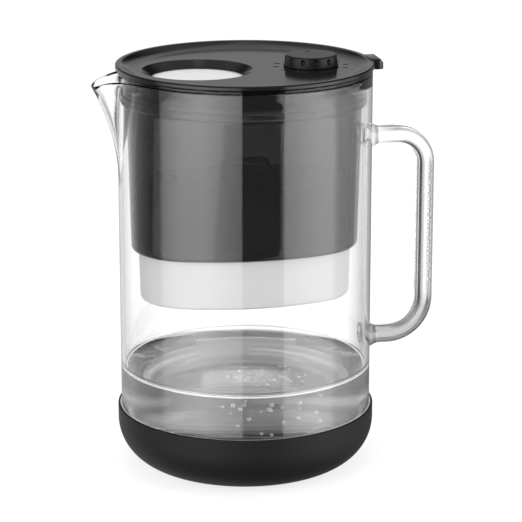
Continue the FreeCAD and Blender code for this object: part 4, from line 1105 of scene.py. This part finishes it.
class PITCHER_OT_filter_cartridge(Operator):
    """Mould the white cartridge and fill it"""

    bl_idname = "pitcher.filter_cartridge"
    bl_label = "Filter cartridge"

    slot_width = 3.0 * MM
    slot_half = 18.0 * MM
    slot_span = 80.0 * MM
    slot_count = 9

    def execute(self, context):
        angles = turn_angles(224)
        white = white_material()
        flange_low, flange_top = 132.4 * MM, 134.2 * MM
        foot_round, cap_round = 2.0 * MM, 0.9 * MM
        floor_top = FILTER_FOOT + 2.0 * MM

        def oval_ring(oval, level):
            """A ring that follows an oval."""
            return ring(oval.reach(angles), angles, level)

        def wall_at(level):
            """The cup's outside at a level."""
            return CUP_LOW.mixed(CUP_TOP, (level - FILTER_FOOT) / (flange_low - FILTER_FOOT))

        rings = [oval_ring(CUP_LOW.grown(-foot_round * k), FILTER_FOOT) for k in (6, 3, 1.3)]
        for inset, level in arc_points((0, 0), foot_round, -90, 0, 7):
            height = FILTER_FOOT + foot_round + level
            rings.append(oval_ring(wall_at(height).grown(inset - foot_round), height))
        for level in np.linspace(FILTER_FOOT + foot_round, flange_low, 8)[1:]:
            rings.append(oval_ring(wall_at(level), level))
        flange, ease = CUP_TOP.grown(1.6 * MM), 0.2 * MM
        for oval, level in (
                (flange.grown(-ease), flange_low), (flange, flange_low + ease),
                (flange, flange_top - ease), (flange.grown(-ease), flange_top)):
            rings.append(oval_ring(oval, level))
        hollow = CUP_LOW.grown(-1.8 * MM)
        rings += [oval_ring(hollow, level) for level in (flange_top, floor_top)]
        rings += [oval_ring(hollow.grown(-foot_round * k), floor_top) for k in (3, 6)]
        cup = new_object("filter_cup_body", *stack_faces(
            rings, first_pole=(0, 0, FILTER_FOOT), last_pole=(0, 0, floor_top)))
        self.cut_slots(cup, FILTER_FOOT + 1.0 * MM, 4.0 * MM)
        finish_piece(cup, "filter", white, ("filter_cup",), angle=30.0)
        top, cap_top = 164.2 * MM, 167.2 * MM
        inner = HOUSING.grown(-1.8 * MM)
        rings = [oval_ring(oval, level) for oval, level in (
            (inner, flange_top), (HOUSING, flange_top), (HOUSING, top), (inner, top))]
        housing = new_object("filter_housing_body", *stack_faces(rings, loop=True))
        finish_piece(housing, "filter", white, ("filter_housing",), angle=30.0)
        middle = HOUSING.grown(-20 * MM)
        rings = [oval_ring(middle, top), oval_ring(HOUSING, top)]
        for inset, level in arc_points((0, 0), cap_round, 0, 90, 4):
            rings.append(oval_ring(HOUSING.grown(inset - cap_round), cap_top - cap_round + level))
        rings.append(oval_ring(middle, cap_top))
        cap = new_object("filter_cap_body", *stack_faces(
            rings, first_pole=(0, 0, top), last_pole=(0, 0, cap_top)))
        self.cut_slots(cap, (top + cap_top) / 2, 6.0 * MM)
        finish_piece(cap, "filter", white, ("filter_cap",), angle=30.0)
        self.make_loop(cap_top, white)
        felt = felt_material()
        for node, material in (
                ("filter_gasket", pale_seal_material()), ("outlet_screen", felt),
                ("resin_bed", resin_material()), ("bed_divider", felt), ("carbon_bed", carbon_material()),
                ("inlet_screen", felt)):
            dress_node(node, material)
        return {"FINISHED"}

    def cut_slots(self, item, level, depth):
        """A row of rounded slots through a floor or cap."""
        half, straight = self.slot_width / 2, self.slot_half - self.slot_width / 2
        outline = arc_points((0, straight), half, 0, 180, 8) + arc_points((0, -straight), half, 180, 360, 8)
        cutter = prism("slot_cutter", outline, "Z", level - depth / 2, level + depth / 2)
        run_tree(
            cutter, make_row_tree, None, count=self.slot_count, first=(-self.slot_span / 2, 0.0, 0.0),
            step=(self.slot_span / (self.slot_count - 1), 0.0, 0.0))
        join_solids(item, cutter, "DIFFERENCE")

    def make_loop(self, base, white):
        """The arched loop that the cartridge is pulled out by."""
        half, rise, thick, depth = 15.0 * MM, 12.0 * MM, 3.0 * MM, 3.5 * MM
        outer, inner = 6.0 * MM, 4.5 * MM
        inside, top, under = half - thick, base + rise, base + rise - thick
        corners = [
            (base, inside, 0), (base, half, 0), (top, half, outer), (top, -half, outer),
            (base, -half, 0), (base, -inside, 0), (under, -inside, inner), (under, inside, inner)]
        outline = soft_outline(corners, closed=True, steps=8)
        loop = prism("filter_pull_loop_body", outline, "Y", -depth, depth)
        weld(loop)
        soften_edges(loop, 0.5 * MM, 50.0)
        finish_piece(loop, "filter", white, ("filter_pull_loop",))


def lid_rings(angles, size):
    """Rings of the lid: funnel, underside, skirt, rim and dish."""
    rim = size.glass_radius + LID_OVERHANG
    bore = size.glass_radius - size.glass_wall - 3.0 * MM
    skirt = bore - 0.6 * MM
    hollow, skirt_low = skirt - 2.4 * MM, 219.3 * MM
    seal_top, seal_low, seal_seat = 225.1 * MM, 222.7 * MM, skirt - 1.0 * MM
    crest_inside, dish_width = rim - LID_CREST_WIDTH, 10.0 * MM
    flat, depth = crest_inside - dish_width, LID_CREST - LID_FLAT
    hole, throat, boss = 31.5 * MM, 25.5 * MM, 28.5 * MM
    funnel = soft_outline([
        (hole + 0.5 * MM, LID_FLAT, 0), (hole, LID_FLAT, 1.2 * MM), (throat, HOLE_LOW + 0.6 * MM, 0.5 * MM),
        (throat, HOLE_LOW, 0.2 * MM), (boss, HOLE_LOW, 0.3 * MM), (boss, LID_UNDER, 0.3 * MM),
        (boss + 0.8 * MM, LID_UNDER, 0)], closed=False)
    outside = soft_outline([
        (hollow - 1.0 * MM, LID_UNDER, 0), (hollow, LID_UNDER, 0.4 * MM), (hollow, skirt_low, 0.3 * MM),
        (skirt, skirt_low, 0.4 * MM), (skirt, seal_low, 0.1 * MM), (seal_seat, seal_low, 0.1 * MM),
        (seal_seat, seal_top, 0.1 * MM), (skirt, seal_top, 0.1 * MM), (skirt, FLANGE_TOP, 0.2 * MM),
        (rim - 0.5 * MM, FLANGE_TOP, 0.15 * MM), (rim, FLANGE_TOP + 0.5 * MM, 0.2 * MM),
        (rim, LID_CREST, 0.9 * MM), (crest_inside, LID_CREST, 0)], closed=False)
    bend = (dish_width ** 2 + depth ** 2) / (2 * depth)
    end = math.degrees(math.asin(dish_width / bend))
    dish = arc_points((flat, LID_FLAT + bend), bend, -90 + end, -90, 14)
    outside[-1:] = [
        (crest_inside + 0.25 * MM, LID_CREST), (crest_inside - 0.15 * MM, LID_CREST - 0.09 * MM),
        *dish[1:], (flat - 0.1 * MM, LID_FLAT)]
    rings = [ring(r, angles, z, HOLE_EAST) for r, z in funnel]
    rings += eccentric(angles, (HOLE_EAST, funnel[-1][0]), (0.0, outside[0][0]), LID_UNDER)
    rings += [ring(r, angles, z) for r, z in outside]
    rings += eccentric(angles, (0.0, outside[-1][0]), (HOLE_EAST, funnel[0][0]), LID_FLAT)
    return rings


def eccentric(angles, first, last, level, steps=7):
    """Flat rings between two circles whose middles differ."""
    rings = []
    for share in np.linspace(0, 1, steps + 2)[1:-1]:
        east = first[0] + (last[0] - first[0]) * share
        reach = first[1] + (last[1] - first[1]) * share
        rings.append(ring(reach, angles, level, east))
    return rings


class PITCHER_OT_lid(Operator):
    """Mould the dished lid with its funnel, thumb tab, hinge lugs and dial ticks"""

    bl_idname = "pitcher.lid"
    bl_label = "Lid"

    lug_radius = 3.45 * MM
    lug_near, lug_far = 9.4 * MM, 12.0 * MM
    pin_bore, pin_half = 1.27 * MM, 14.0 * MM
    dial_bore = 4.08 * MM
    tick_near, tick_far, tick_half = 18.6 * MM, 21.8 * MM, 0.4 * MM
    tick_sink, tick_rise = 0.1 * MM, 0.2 * MM
    tab_half = 8.4 * MM
    tab_corner = 3.0 * MM

    def execute(self, context):
        size = sizes()
        black = black_material()
        lid = new_object(
            "lid_plate_body", *stack_faces(lid_rings(turn_angles(FINE_SEGMENTS), size), loop=True))
        join_solids(lid, self.make_tab(size), "UNION")
        lug = [(HINGE.x - self.lug_radius, LID_UNDER + 0.5 * MM)]
        lug += arc_points((HINGE.x, HINGE.z), self.lug_radius, 180, 360, 14)
        lug += [(HINGE.x + self.lug_radius, LID_UNDER + 0.5 * MM)]
        for side in (-1, 1):
            low, high = sorted((side * self.lug_near, side * self.lug_far))
            block = prism("hinge_lug", [(z, x) for x, z in reversed(lug)], "Y", low, high)
            join_solids(lid, weld(block), "UNION")
        bore = prism("pin_bore", [(z, x) for x, z in arc_points(
            (HINGE.x, HINGE.z), self.pin_bore, 360, 15, 23)], "Y", -self.pin_half, self.pin_half)
        join_solids(lid, weld(bore), "DIFFERENCE")
        hole = prism("dial_bore", [(DIAL_EAST + x, y) for x, y in arc_points(
            (0, 0), self.dial_bore, 0, 345, 23)], "Z", LID_UNDER - 3 * MM, LID_FLAT + 3 * MM)
        join_solids(lid, hole, "DIFFERENCE")
        finish_piece(lid, "lid", black, ("lid_plate",), angle=38.0)
        tick = prism("dial_ticks", box_outline(
            self.tick_near, self.tick_far, -self.tick_half, self.tick_half),
            "Z", LID_FLAT - self.tick_sink, LID_FLAT + self.tick_rise)
        soften_edges(tick, DIAL_EASE, 50.0, 2)
        run_tree(
            tick, make_round_tree, black, count=size.notch_count, centre=(DIAL_EAST, 0.0, 0.0), first_angle=0.0)
        finish_piece(tick, "lid", black, ("lid_plate",))
        dress_node("lid_seal_ring", seal_material())
        dress_node("flap_hinge_pin", steel_material())
        return {"FINISHED"}

    def make_tab(self, size):
        """The thumb tab, with a lip that turns down past the jug's rim."""
        rim, half, corner = size.glass_radius + LID_OVERHANG, self.tab_half, self.tab_corner
        end, top = rim + 5.8 * MM, LID_CREST + 0.5 * MM
        low, inner = top - 5.9 * MM, end - 5.5 * MM
        start, under = rim - LID_CREST_WIDTH, FLANGE_TOP + 0.3 * MM
        side = [
            (under, start + 0.3 * MM), (LID_CREST - 0.4 * MM, start + 0.3 * MM), (top, start + 0.9 * MM),
            (top, end - 2.1 * MM), (top - 2.7 * MM, end), (low, end), (low, inner), (under, inner)]
        tab = prism("thumb_tab", side, "Y", -half - 0.1 * MM, half + 0.1 * MM)
        tip = end - 0.05 * MM
        plan = soft_outline([
            (start, -half, 0), (tip, -half, corner), (tip, half, corner), (start, half, 0)],
            closed=True, steps=8)
        join_solids(tab, prism("tab_plan", plan, "Z", low - 5 * MM, top + 5 * MM), "INTERSECT")
        return soften_edges(weld(tab), 0.35 * MM, 35.0)


class PITCHER_OT_fill_flap(Operator):
    """Hang the white flap on its pin and wind its spring"""

    bl_idname = "pitcher.fill_flap"
    bl_label = "Fill flap"

    def execute(self, context):
        dress_node("fill_flap", flap_material())
        dress_node("flap_seal", pale_seal_material())
        self.make_spring()
        return {"FINISHED"}

    def make_spring(self):
        """The torsion spring: its coil winds up between the lid's leg and the flap's."""
        radius, pitch, wire, tilt = 1.95 * MM, 1.0 * MM, 0.6 * MM, math.radians(30)
        lid_leg, flap_leg = 9.0 * MM, 8.6 * MM
        turns = 5 + tilt / (2 * math.pi)
        side = pitch * turns / 2
        path = [(HINGE.x - lid_leg * (1 - s), -side, HINGE.z - radius) for s in np.linspace(0, 1, 10)]
        steps = int(turns * 28)
        for step in range(1, steps + 1):
            angle = -math.pi / 2 + 2 * math.pi * turns * step / steps
            path.append((
                HINGE.x + radius * math.cos(angle), -side + pitch * turns * step / steps,
                HINGE.z + radius * math.sin(angle)))
        last = Vector(path[-1])
        along = Vector((math.cos(tilt), 0.0, math.sin(tilt)))
        path += [tuple(last + along * (flap_leg * s)) for s in np.linspace(0, 1, 10)[1:]]
        spring = new_path("flap_spring_wire", path)
        run_tree(
            spring, make_sweep_tree, steel_material(), width=wire, thickness=wire, corner=0.27 * MM,
            corner_steps=3, wall=-1.0, flare_length=0.1, flare=0.0)
        weld(spring)
        shade(spring, 50.0)
        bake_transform(spring)
        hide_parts("flap_spring")


class PITCHER_OT_dial(Operator):
    """Turn the date dial and cut its notches"""

    bl_idname = "pitcher.dial"
    bl_label = "Date dial"

    def execute(self, context):
        size = sizes()
        black = dial_material()
        radius, grip = size.dial_radius, size.dial_radius - 0.5 * MM
        stem, waist, foot, waist_low, waist_top = 4.0 * MM, 3.2 * MM, 224.9 * MM, 226.4 * MM, 227.4 * MM
        groove_in, groove_out, groove_top = 8.3 * MM, 10.1 * MM, DIAL_LOW + 1.6 * MM
        base = DIAL_LOW + 1.3 * MM
        grip_top = grip - 0.5 * MM
        outline = soft_outline([
            (0, foot, 0), (stem, foot, 0.3 * MM), (stem, waist_low, 0), (waist, waist_low, 0),
            (waist, waist_top, 0), (stem, waist_top, 0), (stem, DIAL_LOW, 0), (groove_in, DIAL_LOW, 0.1 * MM),
            (groove_in, groove_top, 0), (groove_out, groove_top, 0), (groove_out, DIAL_LOW, 0.1 * MM),
            (radius, DIAL_LOW, 0.2 * MM), (radius, base, 0.25 * MM), (grip, base, 0.12 * MM),
            (grip_top, DIAL_TOP, 0.9 * MM), (grip_top - 2.0 * MM, DIAL_TOP, 0), (stem, DIAL_TOP, 0),
            (0, DIAL_TOP, 0)], closed=False)
        knob = turned_on_axis("dial_knob_body", outline, DIAL_EAST, 144)
        notch_low, notch_top, notch = DIAL_TOP - 4.7 * MM, DIAL_TOP - 1.0 * MM, 1.35 * MM
        capsule = arc_points((0, notch_low + notch), notch, -90, 0, 5) + arc_points(
            (0, notch_top - notch), notch, 0, 90, 5)
        cutter = turned_on_axis("notch_cutter", capsule, grip, 20)
        run_tree(
            cutter, make_round_tree, None, count=size.notch_count, centre=(DIAL_EAST, 0.0, 0.0),
            first_angle=0.0)
        join_solids(knob, cutter, "DIFFERENCE")
        near, far, half = 7.9 * MM, 11.9 * MM, 0.5 * MM
        pointer = prism(
            "pointer", box_outline(DIAL_EAST - half, DIAL_EAST + half, near, far), "Z",
            DIAL_TOP - 0.3 * MM, DIAL_TOP + 0.25 * MM)
        soften_edges(pointer, DIAL_EASE, 50.0, 2)
        join_solids(knob, pointer, "UNION")
        finish_piece(knob, "dial", black, ("dial_knob",), angle=35.0)
        dress_node("dial_retaining_ring", steel_material())
        dress_node("dial_washer", nylon_material())
        dress_node("dial_o_ring", seal_material())
        return {"FINISHED"}


# How water climbs a wall: its slopes in degrees, and the shift that ends the curve at the wall
MENISCUS_SLOPES = (90, 80, 70, 60, 50, 41, 33, 26, 20, 15, 11, 8, 5, 3, 1.5)
MENISCUS_SHIFT = 0.5328


class PITCHER_OT_water(Operator):
    """Fill the jug's foot with filtered water and a few bubbles"""

    bl_idname = "pitcher.water"
    bl_label = "Water"

    sink = 0.12 * MM
    pull = 2.7 * MM
    line_radius, line_rise, line_gap = 0.5 * MM, 1.3 * MM, 0.1 * MM
    bubble_reach, bubble_low, bubble_cover = 24.0 * MM, 22.0 * MM, 2.0 * MM
    bubble_smallest, bubble_largest = 0.5 * MM, 0.95 * MM
    bubble_centre = (8.0 * MM, -14.0 * MM, 0.0)
    bubble_seed = 7

    def execute(self, context):
        size, sink, pull = sizes(), self.sink, self.pull
        inset = size.glass_wall - sink
        corner = GLASS_CORNER - inset
        wall = size.glass_radius - inset
        base = GLASS_BASE + GLASS_FLOOR - sink
        level = size.water_level
        outline = [(0, base), (0.3 * (wall - corner), base), (0.8 * (wall - corner), base)]
        outline += arc_points((wall - corner, base + corner), corner, -90, 0, 20)
        outline += [(wall, level - 8 * MM), (wall, level + 1.45 * pull)]
        for slope in np.radians(MENISCUS_SLOPES):
            climb = 2 * math.sin(slope / 2)
            away = math.acosh(2 / climb) - 2 * math.cos(slope / 2) + MENISCUS_SHIFT
            outline.append((wall - sink - away * pull, level + climb * pull))
        outline += [(outline[-1][0] * s, level) for s in (0.9, 0.7, 0.4, 0.15)] + [(0, level)]
        water = turned_on_axis("filtered_water", outline, count=FINE_SEGMENTS)
        finish_piece(water, "jug", water_material(), angle=60.0)
        # A painted highlight: a thin glowing ring just inside the water's edge
        middle = (wall - sink - self.line_radius - self.line_gap, level + self.line_rise)
        line = turned("meniscus_glow_ring", arc_points(middle, self.line_radius, 0, 330, 11), count=FINE_SEGMENTS)
        finish_piece(line, "jug", meniscus_glow_material(), angle=80.0)
        bubble = turned_on_axis("air_bubbles", arc_points((0, 0), 1.0, -90, 90, 8), count=14)
        air = bubble_material()
        run_tree(
            bubble, make_bubble_tree, air, count=size.bubble_count, reach=self.bubble_reach,
            low=self.bubble_low, high=level - self.bubble_cover, smallest=self.bubble_smallest,
            largest=self.bubble_largest, centre=self.bubble_centre, seed=self.bubble_seed)
        finish_piece(bubble, "jug", air, angle=80.0)
        return {"FINISHED"}


# Levels of the studio by the angle left of the camera, in degrees: the soft boxes, the backdrop as it is
# mirrored high and low, and the backdrop as it is seen through glass
SOFT_BOXES = (
    (-180, 0.0), (-124, 0.1), (-112, 0.75), (-91, 1.2), (-88, 2.0), (-70, 2.35), (-52, 2.0), (-36.5, 1.55),
    (-35.5, 0.12), (1.5, 0.12), (2.5, 1.2), (20, 1.8), (38, 2.4), (58, 2.0), (81, 0.85), (83, 0.12), (100, 0.2),
    (128, 0.25), (150, 0.0), (180, 0.0))
MIRRORED_BACK = ((-180, 0.42), (-174, 0.42), (-168, 0.0), (158, 0.0), (170, 0.42), (180, 0.42))
MIRRORED_SIDES = (
    (-180, 0.0), (-160, 0.2), (-140, 0.2), (-126, 0.12), (-112, 0.0), (98, 0.0), (112, 0.35), (128, 0.55),
    (158, 0.6), (172, 0.0), (180, 0.0))
SEEN_BACK = (
    (-180, 1.25), (-174, 1.25), (-169, 0.62), (-154, 0.58), (-148, 0.92), (-125, 0.9), (-118, 0.0),
    (118, 0.0), (130, 0.45), (148, 0.75), (160, 1.0), (172, 1.25), (180, 1.25))


class PITCHER_OT_stage(Operator):
    """Set up the floor, the light and the camera"""

    bl_idname = "pitcher.stage"
    bl_label = "Stage"

    camera_place = Vector((-0.2412, -1.2886, 0.4758))
    camera_aim = Vector((0.18408, 0.94703, -0.26317))
    lamp_target = Vector((0.0, 0.0, 0.12))
    floor_half = 6.0
    floor_grey = (0.3, 0.3, 0.3, 1.0)
    floor_glow = 0.78
    plain_light = 0.6

    def execute(self, context):
        scene = context.scene
        scene.view_settings.view_transform = "Standard"
        self.make_floor()
        self.make_world(scene)
        self.make_lamps(scene)
        lens = bpy.data.cameras.new("camera")
        lens.lens, lens.sensor_width = 163.16, 36.0
        lens.clip_start, lens.clip_end = 0.05, 50.0
        camera = bpy.data.objects.new("camera", lens)
        scene.collection.objects.link(camera)
        camera.location = self.camera_place
        camera.rotation_euler = self.camera_aim.to_track_quat("-Z", "Y").to_euler()
        scene.camera = camera
        return {"FINISHED"}

    def make_floor(self):
        """A plain pale floor that is white to the eye and keeps the shadow."""
        half = self.floor_half
        corners = [(x, y, 0) for x, y in box_outline(-half, half, -half, half)]
        floor = new_object("floor", corners, [(0, 1, 2, 3)])
        material, build, output = blank_material("pale_floor")
        path = build.add("ShaderNodeLightPath")
        paint = build.add("ShaderNodeBsdfDiffuse", {"Color": self.floor_grey})
        glow = build.add("ShaderNodeEmission", {"Color": WHITE_LIGHT, "Strength": self.floor_glow})
        both = build.add("ShaderNodeAddShader", {0: paint.outputs[0], 1: glow.outputs[0]})
        mix = build.add("ShaderNodeMixShader", {
            0: path.outputs["Is Camera Ray"], 1: paint.outputs[0], 2: both.outputs[0]})
        build.link(mix.outputs[0], output.inputs["Surface"])
        floor.data.materials.append(material)
        floor.visible_glossy = floor.visible_transmission = False

    def make_world(self, scene):
        """White behind, and a studio with two tall soft boxes in the reflections."""
        world = bpy.data.worlds.new("studio")
        scene.world = world
        world.use_nodes = True
        world.node_tree.nodes.clear()
        build = Tree(world.node_tree)
        output = build.add("ShaderNodeOutputWorld")
        aim = Vector((-self.camera_aim.x, -self.camera_aim.y, 0.0)).normalized()
        left = Vector((aim.y, -aim.x, 0.0))
        place = build.add("ShaderNodeTexCoord").outputs["Generated"]
        toward, aside = (
            build.add("ShaderNodeVectorMath", {0: place, 1: tuple(way)}, operation="DOT_PRODUCT").outputs[1]
            for way in (aim, left))
        degrees = build.calc("DEGREES", build.calc("ARCTAN2", aside, toward))
        around = build.fade(degrees, -180.0, 180.0)
        height = build.add("ShaderNodeSeparateXYZ", {0: place}).outputs["Z"]

        def by_angle(levels):
            """A strength that follows the angle left of the camera, from a table of degrees and levels."""
            top = max(level for _, level in levels)
            ramp = build.add("ShaderNodeValToRGB", {"Fac": around})
            stops = ramp.color_ramp.elements
            while len(stops) < len(levels):
                stops.new(0.5)
            for stop, (degree, level) in zip(stops, levels):
                stop.position = (degree + 180.0) / 360.0
                stop.color = (level / top, level / top, level / top, 1.0)
            return build.calc("MULTIPLY", ramp.outputs["Color"], top)

        def above(first, last, rise=1.0, base=0.0):
            """A strength that comes in between two heights."""
            return build.fade(height, first, last, base, base + rise)

        def total(operation, first, *others):
            """Several strengths added up or multiplied."""
            for other in others:
                first = build.calc(operation, first, other)
            return first

        boxes = total("MULTIPLY", by_angle(SOFT_BOXES), above(-0.25, -0.2, 0.2, 1.0))
        low_boxes = total("MULTIPLY", boxes, above(-0.64, -0.56), above(0.20, 0.12))
        tall_boxes = total("MULTIPLY", boxes, above(-0.96, -0.9), above(0.75, 0.65))
        low_sides = total("MULTIPLY", by_angle(MIRRORED_SIDES), above(0.16, 0.08))
        back = total("MULTIPLY", by_angle(SEEN_BACK), above(-0.92, -0.8))
        mirrored = total("ADD", low_boxes, low_sides, by_angle(MIRRORED_BACK), above(0.5, 0.75, 0.3))
        through = total("ADD", tall_boxes, back, above(0.6, 0.7, 1.2))
        path = build.add("ShaderNodeLightPath")

        def choose(when, otherwise, then):
            """One of two strengths."""
            node = build.add("ShaderNodeMix", {"Factor": path.outputs[when]}, data_type="FLOAT")
            for key, value in (("A", otherwise), ("B", then)):
                if isinstance(value, float):
                    node.inputs[key].default_value = value
                else:
                    build.link(value, node.inputs[key])
            return node.outputs["Result"]

        strength = choose("Is Glossy Ray", self.plain_light, mirrored)
        strength = choose("Is Transmission Ray", strength, through)
        strength = choose("Is Camera Ray", strength, 1.0)
        sky = build.add("ShaderNodeBackground", {"Color": WHITE_LIGHT, "Strength": strength})
        build.link(sky.outputs[0], output.inputs["Surface"])

    def make_lamps(self, scene):
        """Two large soft lamps and one from above."""
        for name, place, width, height, power in (
                ("left_lamp", (-1.5, -1.3, 1.0), 1.4, 1.6, 26.0),
                ("right_lamp", (1.7, -0.9, 0.9), 1.3, 1.6, 20.0),
                ("top_lamp", (0.0, 0.2, 1.9), 1.6, 1.6, 12.0)):
            light = bpy.data.lights.new(name, "AREA")
            light.shape, light.size, light.size_y, light.energy = "RECTANGLE", width, height, power
            lamp = bpy.data.objects.new(name, light)
            scene.collection.objects.link(lamp)
            lamp.location = place
            lamp.rotation_euler = (self.lamp_target - Vector(place)).to_track_quat("-Z", "Y").to_euler()
            lamp.visible_glossy = lamp.visible_camera = lamp.visible_transmission = False


class PITCHER_PT_panel(Panel):
    """Lists the pitcher's pieces"""

    bl_label = "Pitcher"
    bl_idname = "PITCHER_PT_panel"
    bl_space_type = "VIEW_3D"
    bl_region_type = "UI"
    bl_category = "Pitcher"

    def draw(self, context):
        for group in (context.scene.pitcher_sizes, context.scene.pitcher_colours):
            box = self.layout.box()
            for name in group.__annotations__:
                box.prop(group, name)
        for operator in OPERATORS:
            self.layout.operator(operator.bl_idname)


OPERATORS = (
    PITCHER_OT_stage, PITCHER_OT_glass_jug, PITCHER_OT_silicone_boot, PITCHER_OT_hopper,
    PITCHER_OT_filter_cartridge, PITCHER_OT_lid, PITCHER_OT_fill_flap, PITCHER_OT_dial, PITCHER_OT_water)
CLASSES = (PITCHER_PG_sizes, PITCHER_PG_colours, *OPERATORS, PITCHER_PT_panel)


def register():
    """Register the add-on's classes and its settings."""
    for item in CLASSES:
        bpy.utils.register_class(item)
    bpy.types.Scene.pitcher_sizes = PointerProperty(type=PITCHER_PG_sizes)
    bpy.types.Scene.pitcher_colours = PointerProperty(type=PITCHER_PG_colours)


def unregister():
    """Take the add-on's classes and settings away."""
    del bpy.types.Scene.pitcher_colours
    del bpy.types.Scene.pitcher_sizes
    for item in reversed(CLASSES):
        bpy.utils.unregister_class(item)


def main():
    """Build every piece in order."""
    register()
    for operator in OPERATORS:
        group, name = operator.bl_idname.split(".")
        getattr(getattr(bpy.ops, group), name)()


if __name__ == "__main__":
    main()
